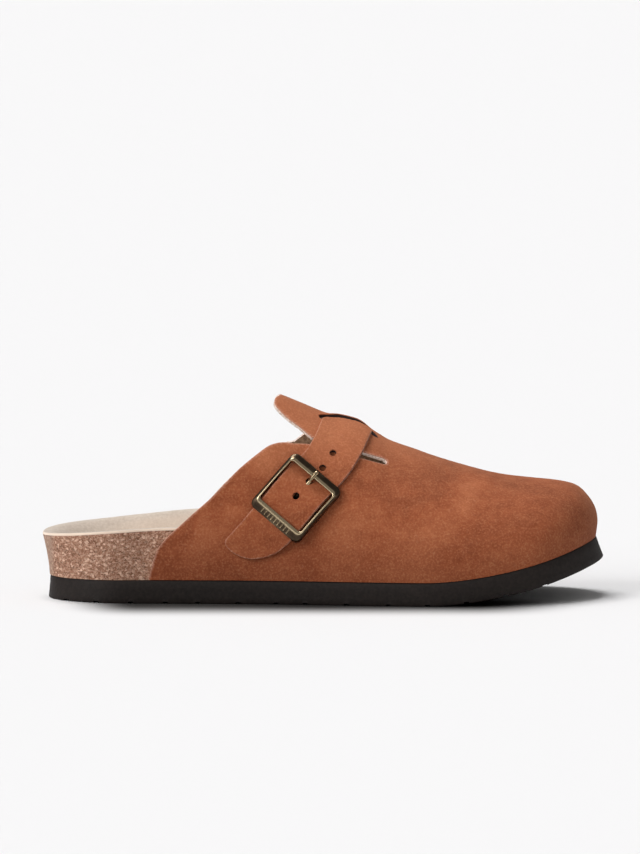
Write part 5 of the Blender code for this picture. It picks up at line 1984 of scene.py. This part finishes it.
@dataclass
class Studio:
    """Pale sweep, soft lights and the camera at the photograph's angle."""

    elevation: float = 5.0
    distance: float = 4.0
    view_height: float = 0.4103
    aim: tuple[float, float, float] = (-0.0021, 0.0, 0.0816)
    paper: str = "F8F8F8"
    paper_tone: tuple[float, float, float, float] = (0.784, 0.782, 0.789, 1)
    shadow_tone: tuple[float, float, float, float] = (0.05, 0.048, 0.046, 1)
    # Low end, high end and the fade beyond each, in metres, of the dark under the shoe along X and Y.
    shadow_x: tuple[float, float, float, float] = (-0.088, 0.070, 0.045, 0.064)
    shadow_y: tuple[float, float, float, float] = (-0.040, -0.032, 0.060, 0.030)
    floor_half: float = 40.0
    dome_radius: float = 38.0
    sky: tuple[float, float, float, float] = (1.0, 0.985, 0.97, 1)
    sky_strength: float = 0.30
    # Direction, strength and angle in degrees of each soft light.
    softboxes: tuple[tuple[tuple[float, float, float], float, float], ...] = (
        ((-0.20, 0.20, 0.96), 2.2, 34), ((-0.66, -0.58, 0.48), 1.55, 40))

    def build(self) -> None:
        """Build floor, dome, lights and camera."""
        bm = bmesh.new()
        bmesh.ops.create_grid(bm, x_segments=2, y_segments=2, size=self.floor_half)
        self.staged("floor", bm, self.floor_paper())
        bm = bmesh.new()
        bmesh.ops.create_uvsphere(bm, u_segments=48, v_segments=24, radius=self.dome_radius)
        bmesh.ops.reverse_faces(bm, faces=bm.faces)
        dome = self.staged("backdrop", bm, self.glow())
        for kind in ("visible_diffuse", "visible_glossy", "visible_transmission", "visible_shadow"):
            setattr(dome, kind, False)
        world = bpy.data.worlds.new("studio")
        world.use_nodes = True
        background = world.node_tree.nodes["Background"].inputs
        background["Color"].default_value = self.sky
        background["Strength"].default_value = self.sky_strength
        scene = bpy.context.scene
        scene.world = world
        for source, strength, angle in self.softboxes:
            self.sun(source, strength, angle)
        scene.view_settings.view_transform = "Standard"
        lens = bpy.data.cameras.new("camera")
        lens.sensor_fit = "VERTICAL"
        lens.sensor_height = 36
        lens.lens = 36 * self.distance / self.view_height
        lens.clip_end = 200
        camera = bpy.data.objects.new("camera", lens)
        scene.collection.objects.link(camera)
        angle = math.radians(self.elevation)
        camera.location = Vector(self.aim) + Vector((0, -math.cos(angle), math.sin(angle))) * self.distance
        camera.rotation_euler = (math.pi / 2 - angle, 0, 0)
        scene.camera = camera

    def staged(self, name: str, bm: BMesh, material: Material) -> Object:
        """Turn a bmesh into a piece of the studio.

        Args:
            name: name of the object.
            bm: its mesh, which is freed.
            material: its material.

        Returns:
            The object.
        """
        made = placed(name, bm)
        made.data.materials.append(material)
        return made

    def floor_paper(self) -> Material:
        """Build white seamless paper, with the photograph's short dark shadow drawn in under the shoe.

        Returns:
            The material.
        """
        made, tree, shader, at = principled("seamless_paper", 1.0, Specular_IOR_Level=0.0)
        place = add_node(tree, "ShaderNodeSeparateXYZ", {"Vector": at}).outputs
        beyond = []
        for axis, low, high, fade_low, fade_high in (("X", *self.shadow_x), ("Y", *self.shadow_y)):
            ends = [add_node(tree, "ShaderNodeMapRange",
                             {"Value": place[axis], "From Min": start, "From Max": full}).outputs[0]
                    for start, full in ((low, low - fade_low), (high, high + fade_high))]
            way = add_node(tree, "ShaderNodeMath", {0: ends[0], 1: ends[1]}, operation="MAXIMUM").outputs[0]
            beyond.append(add_node(tree, "ShaderNodeMath", {0: way, 1: 2.0}, operation="POWER").outputs[0])
        total = add_node(tree, "ShaderNodeMath", {0: beyond[0], 1: beyond[1]}, operation="ADD").outputs[0]
        far = add_node(tree, "ShaderNodeMath", {0: total}, operation="SQRT").outputs[0]
        clear = add_node(tree, "ShaderNodeMapRange", {"Value": far},
                         interpolation_type="SMOOTHERSTEP").outputs[0]
        tree.links.new(mix(tree, clear, self.shadow_tone, self.paper_tone), shader.inputs["Base Color"])
        return made

    def glow(self) -> Material:
        """Build the evenly lit backdrop.

        Returns:
            The material.
        """
        made, _, shader, _ = principled("lit_backdrop", 1.0)
        shader.inputs["Base Color"].default_value = linear(BLACK)
        shader.inputs["Emission Color"].default_value = linear(self.paper)
        shader.inputs["Emission Strength"].default_value = 1.0
        return made

    def sun(self, source: tuple[float, float, float], strength: float, angle: float) -> None:
        """Add a soft far light.

        Args:
            source: direction that it comes from.
            strength: its strength.
            angle: how wide it looks, in degrees.
        """
        light = bpy.data.lights.new("softbox", "SUN")
        light.energy = strength
        light.angle = math.radians(angle)
        made = bpy.data.objects.new("softbox", light)
        made.rotation_euler = Vector(source).to_track_quat("Z", "Y").to_euler()
        bpy.context.scene.collection.objects.link(made)


def main() -> None:
    """Build the pieces in order and report each."""
    last = Last()
    suede = BrushedSuede().material()
    cut = CutLeather().material()
    # The strap's cut edge is a darker copy of the cut leather: painted shade on the strap's walls.
    rubbed = CutLeather("strap_edge_painted_shade", "55301F", "7D4B35", "A87A62", "5A3020").material()
    # Near-black painted shade for the walls of the strap's holes and the slot.
    hole = ShadedCutWall().material()
    flesh = FleshSide().material()
    brass = AntiqueBrass().material()
    strap = Strap(last)
    pieces = [Outsole(last).build(FoamRubber().material())]
    pieces += Footbed(last).build(PressedCork().material(), LiningSuede().material())
    pieces.append(Upper(last).build((suede, flesh, cut, hole)))
    pieces.append(strap.build((suede, flesh, rubbed, hole)))
    pieces += Buckle(strap).build(brass)
    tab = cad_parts["buckle_loop"].data.materials
    tab.clear()
    tab.append(suede)
    for piece in pieces:
        LOG.info("%s: %d faces", piece.name, len(piece.data.polygons))
    Studio().build()
    bpy.context.view_layer.update()


if __name__ == "__main__":
    logging.basicConfig(level=logging.INFO, format="%(message)s")
    main()
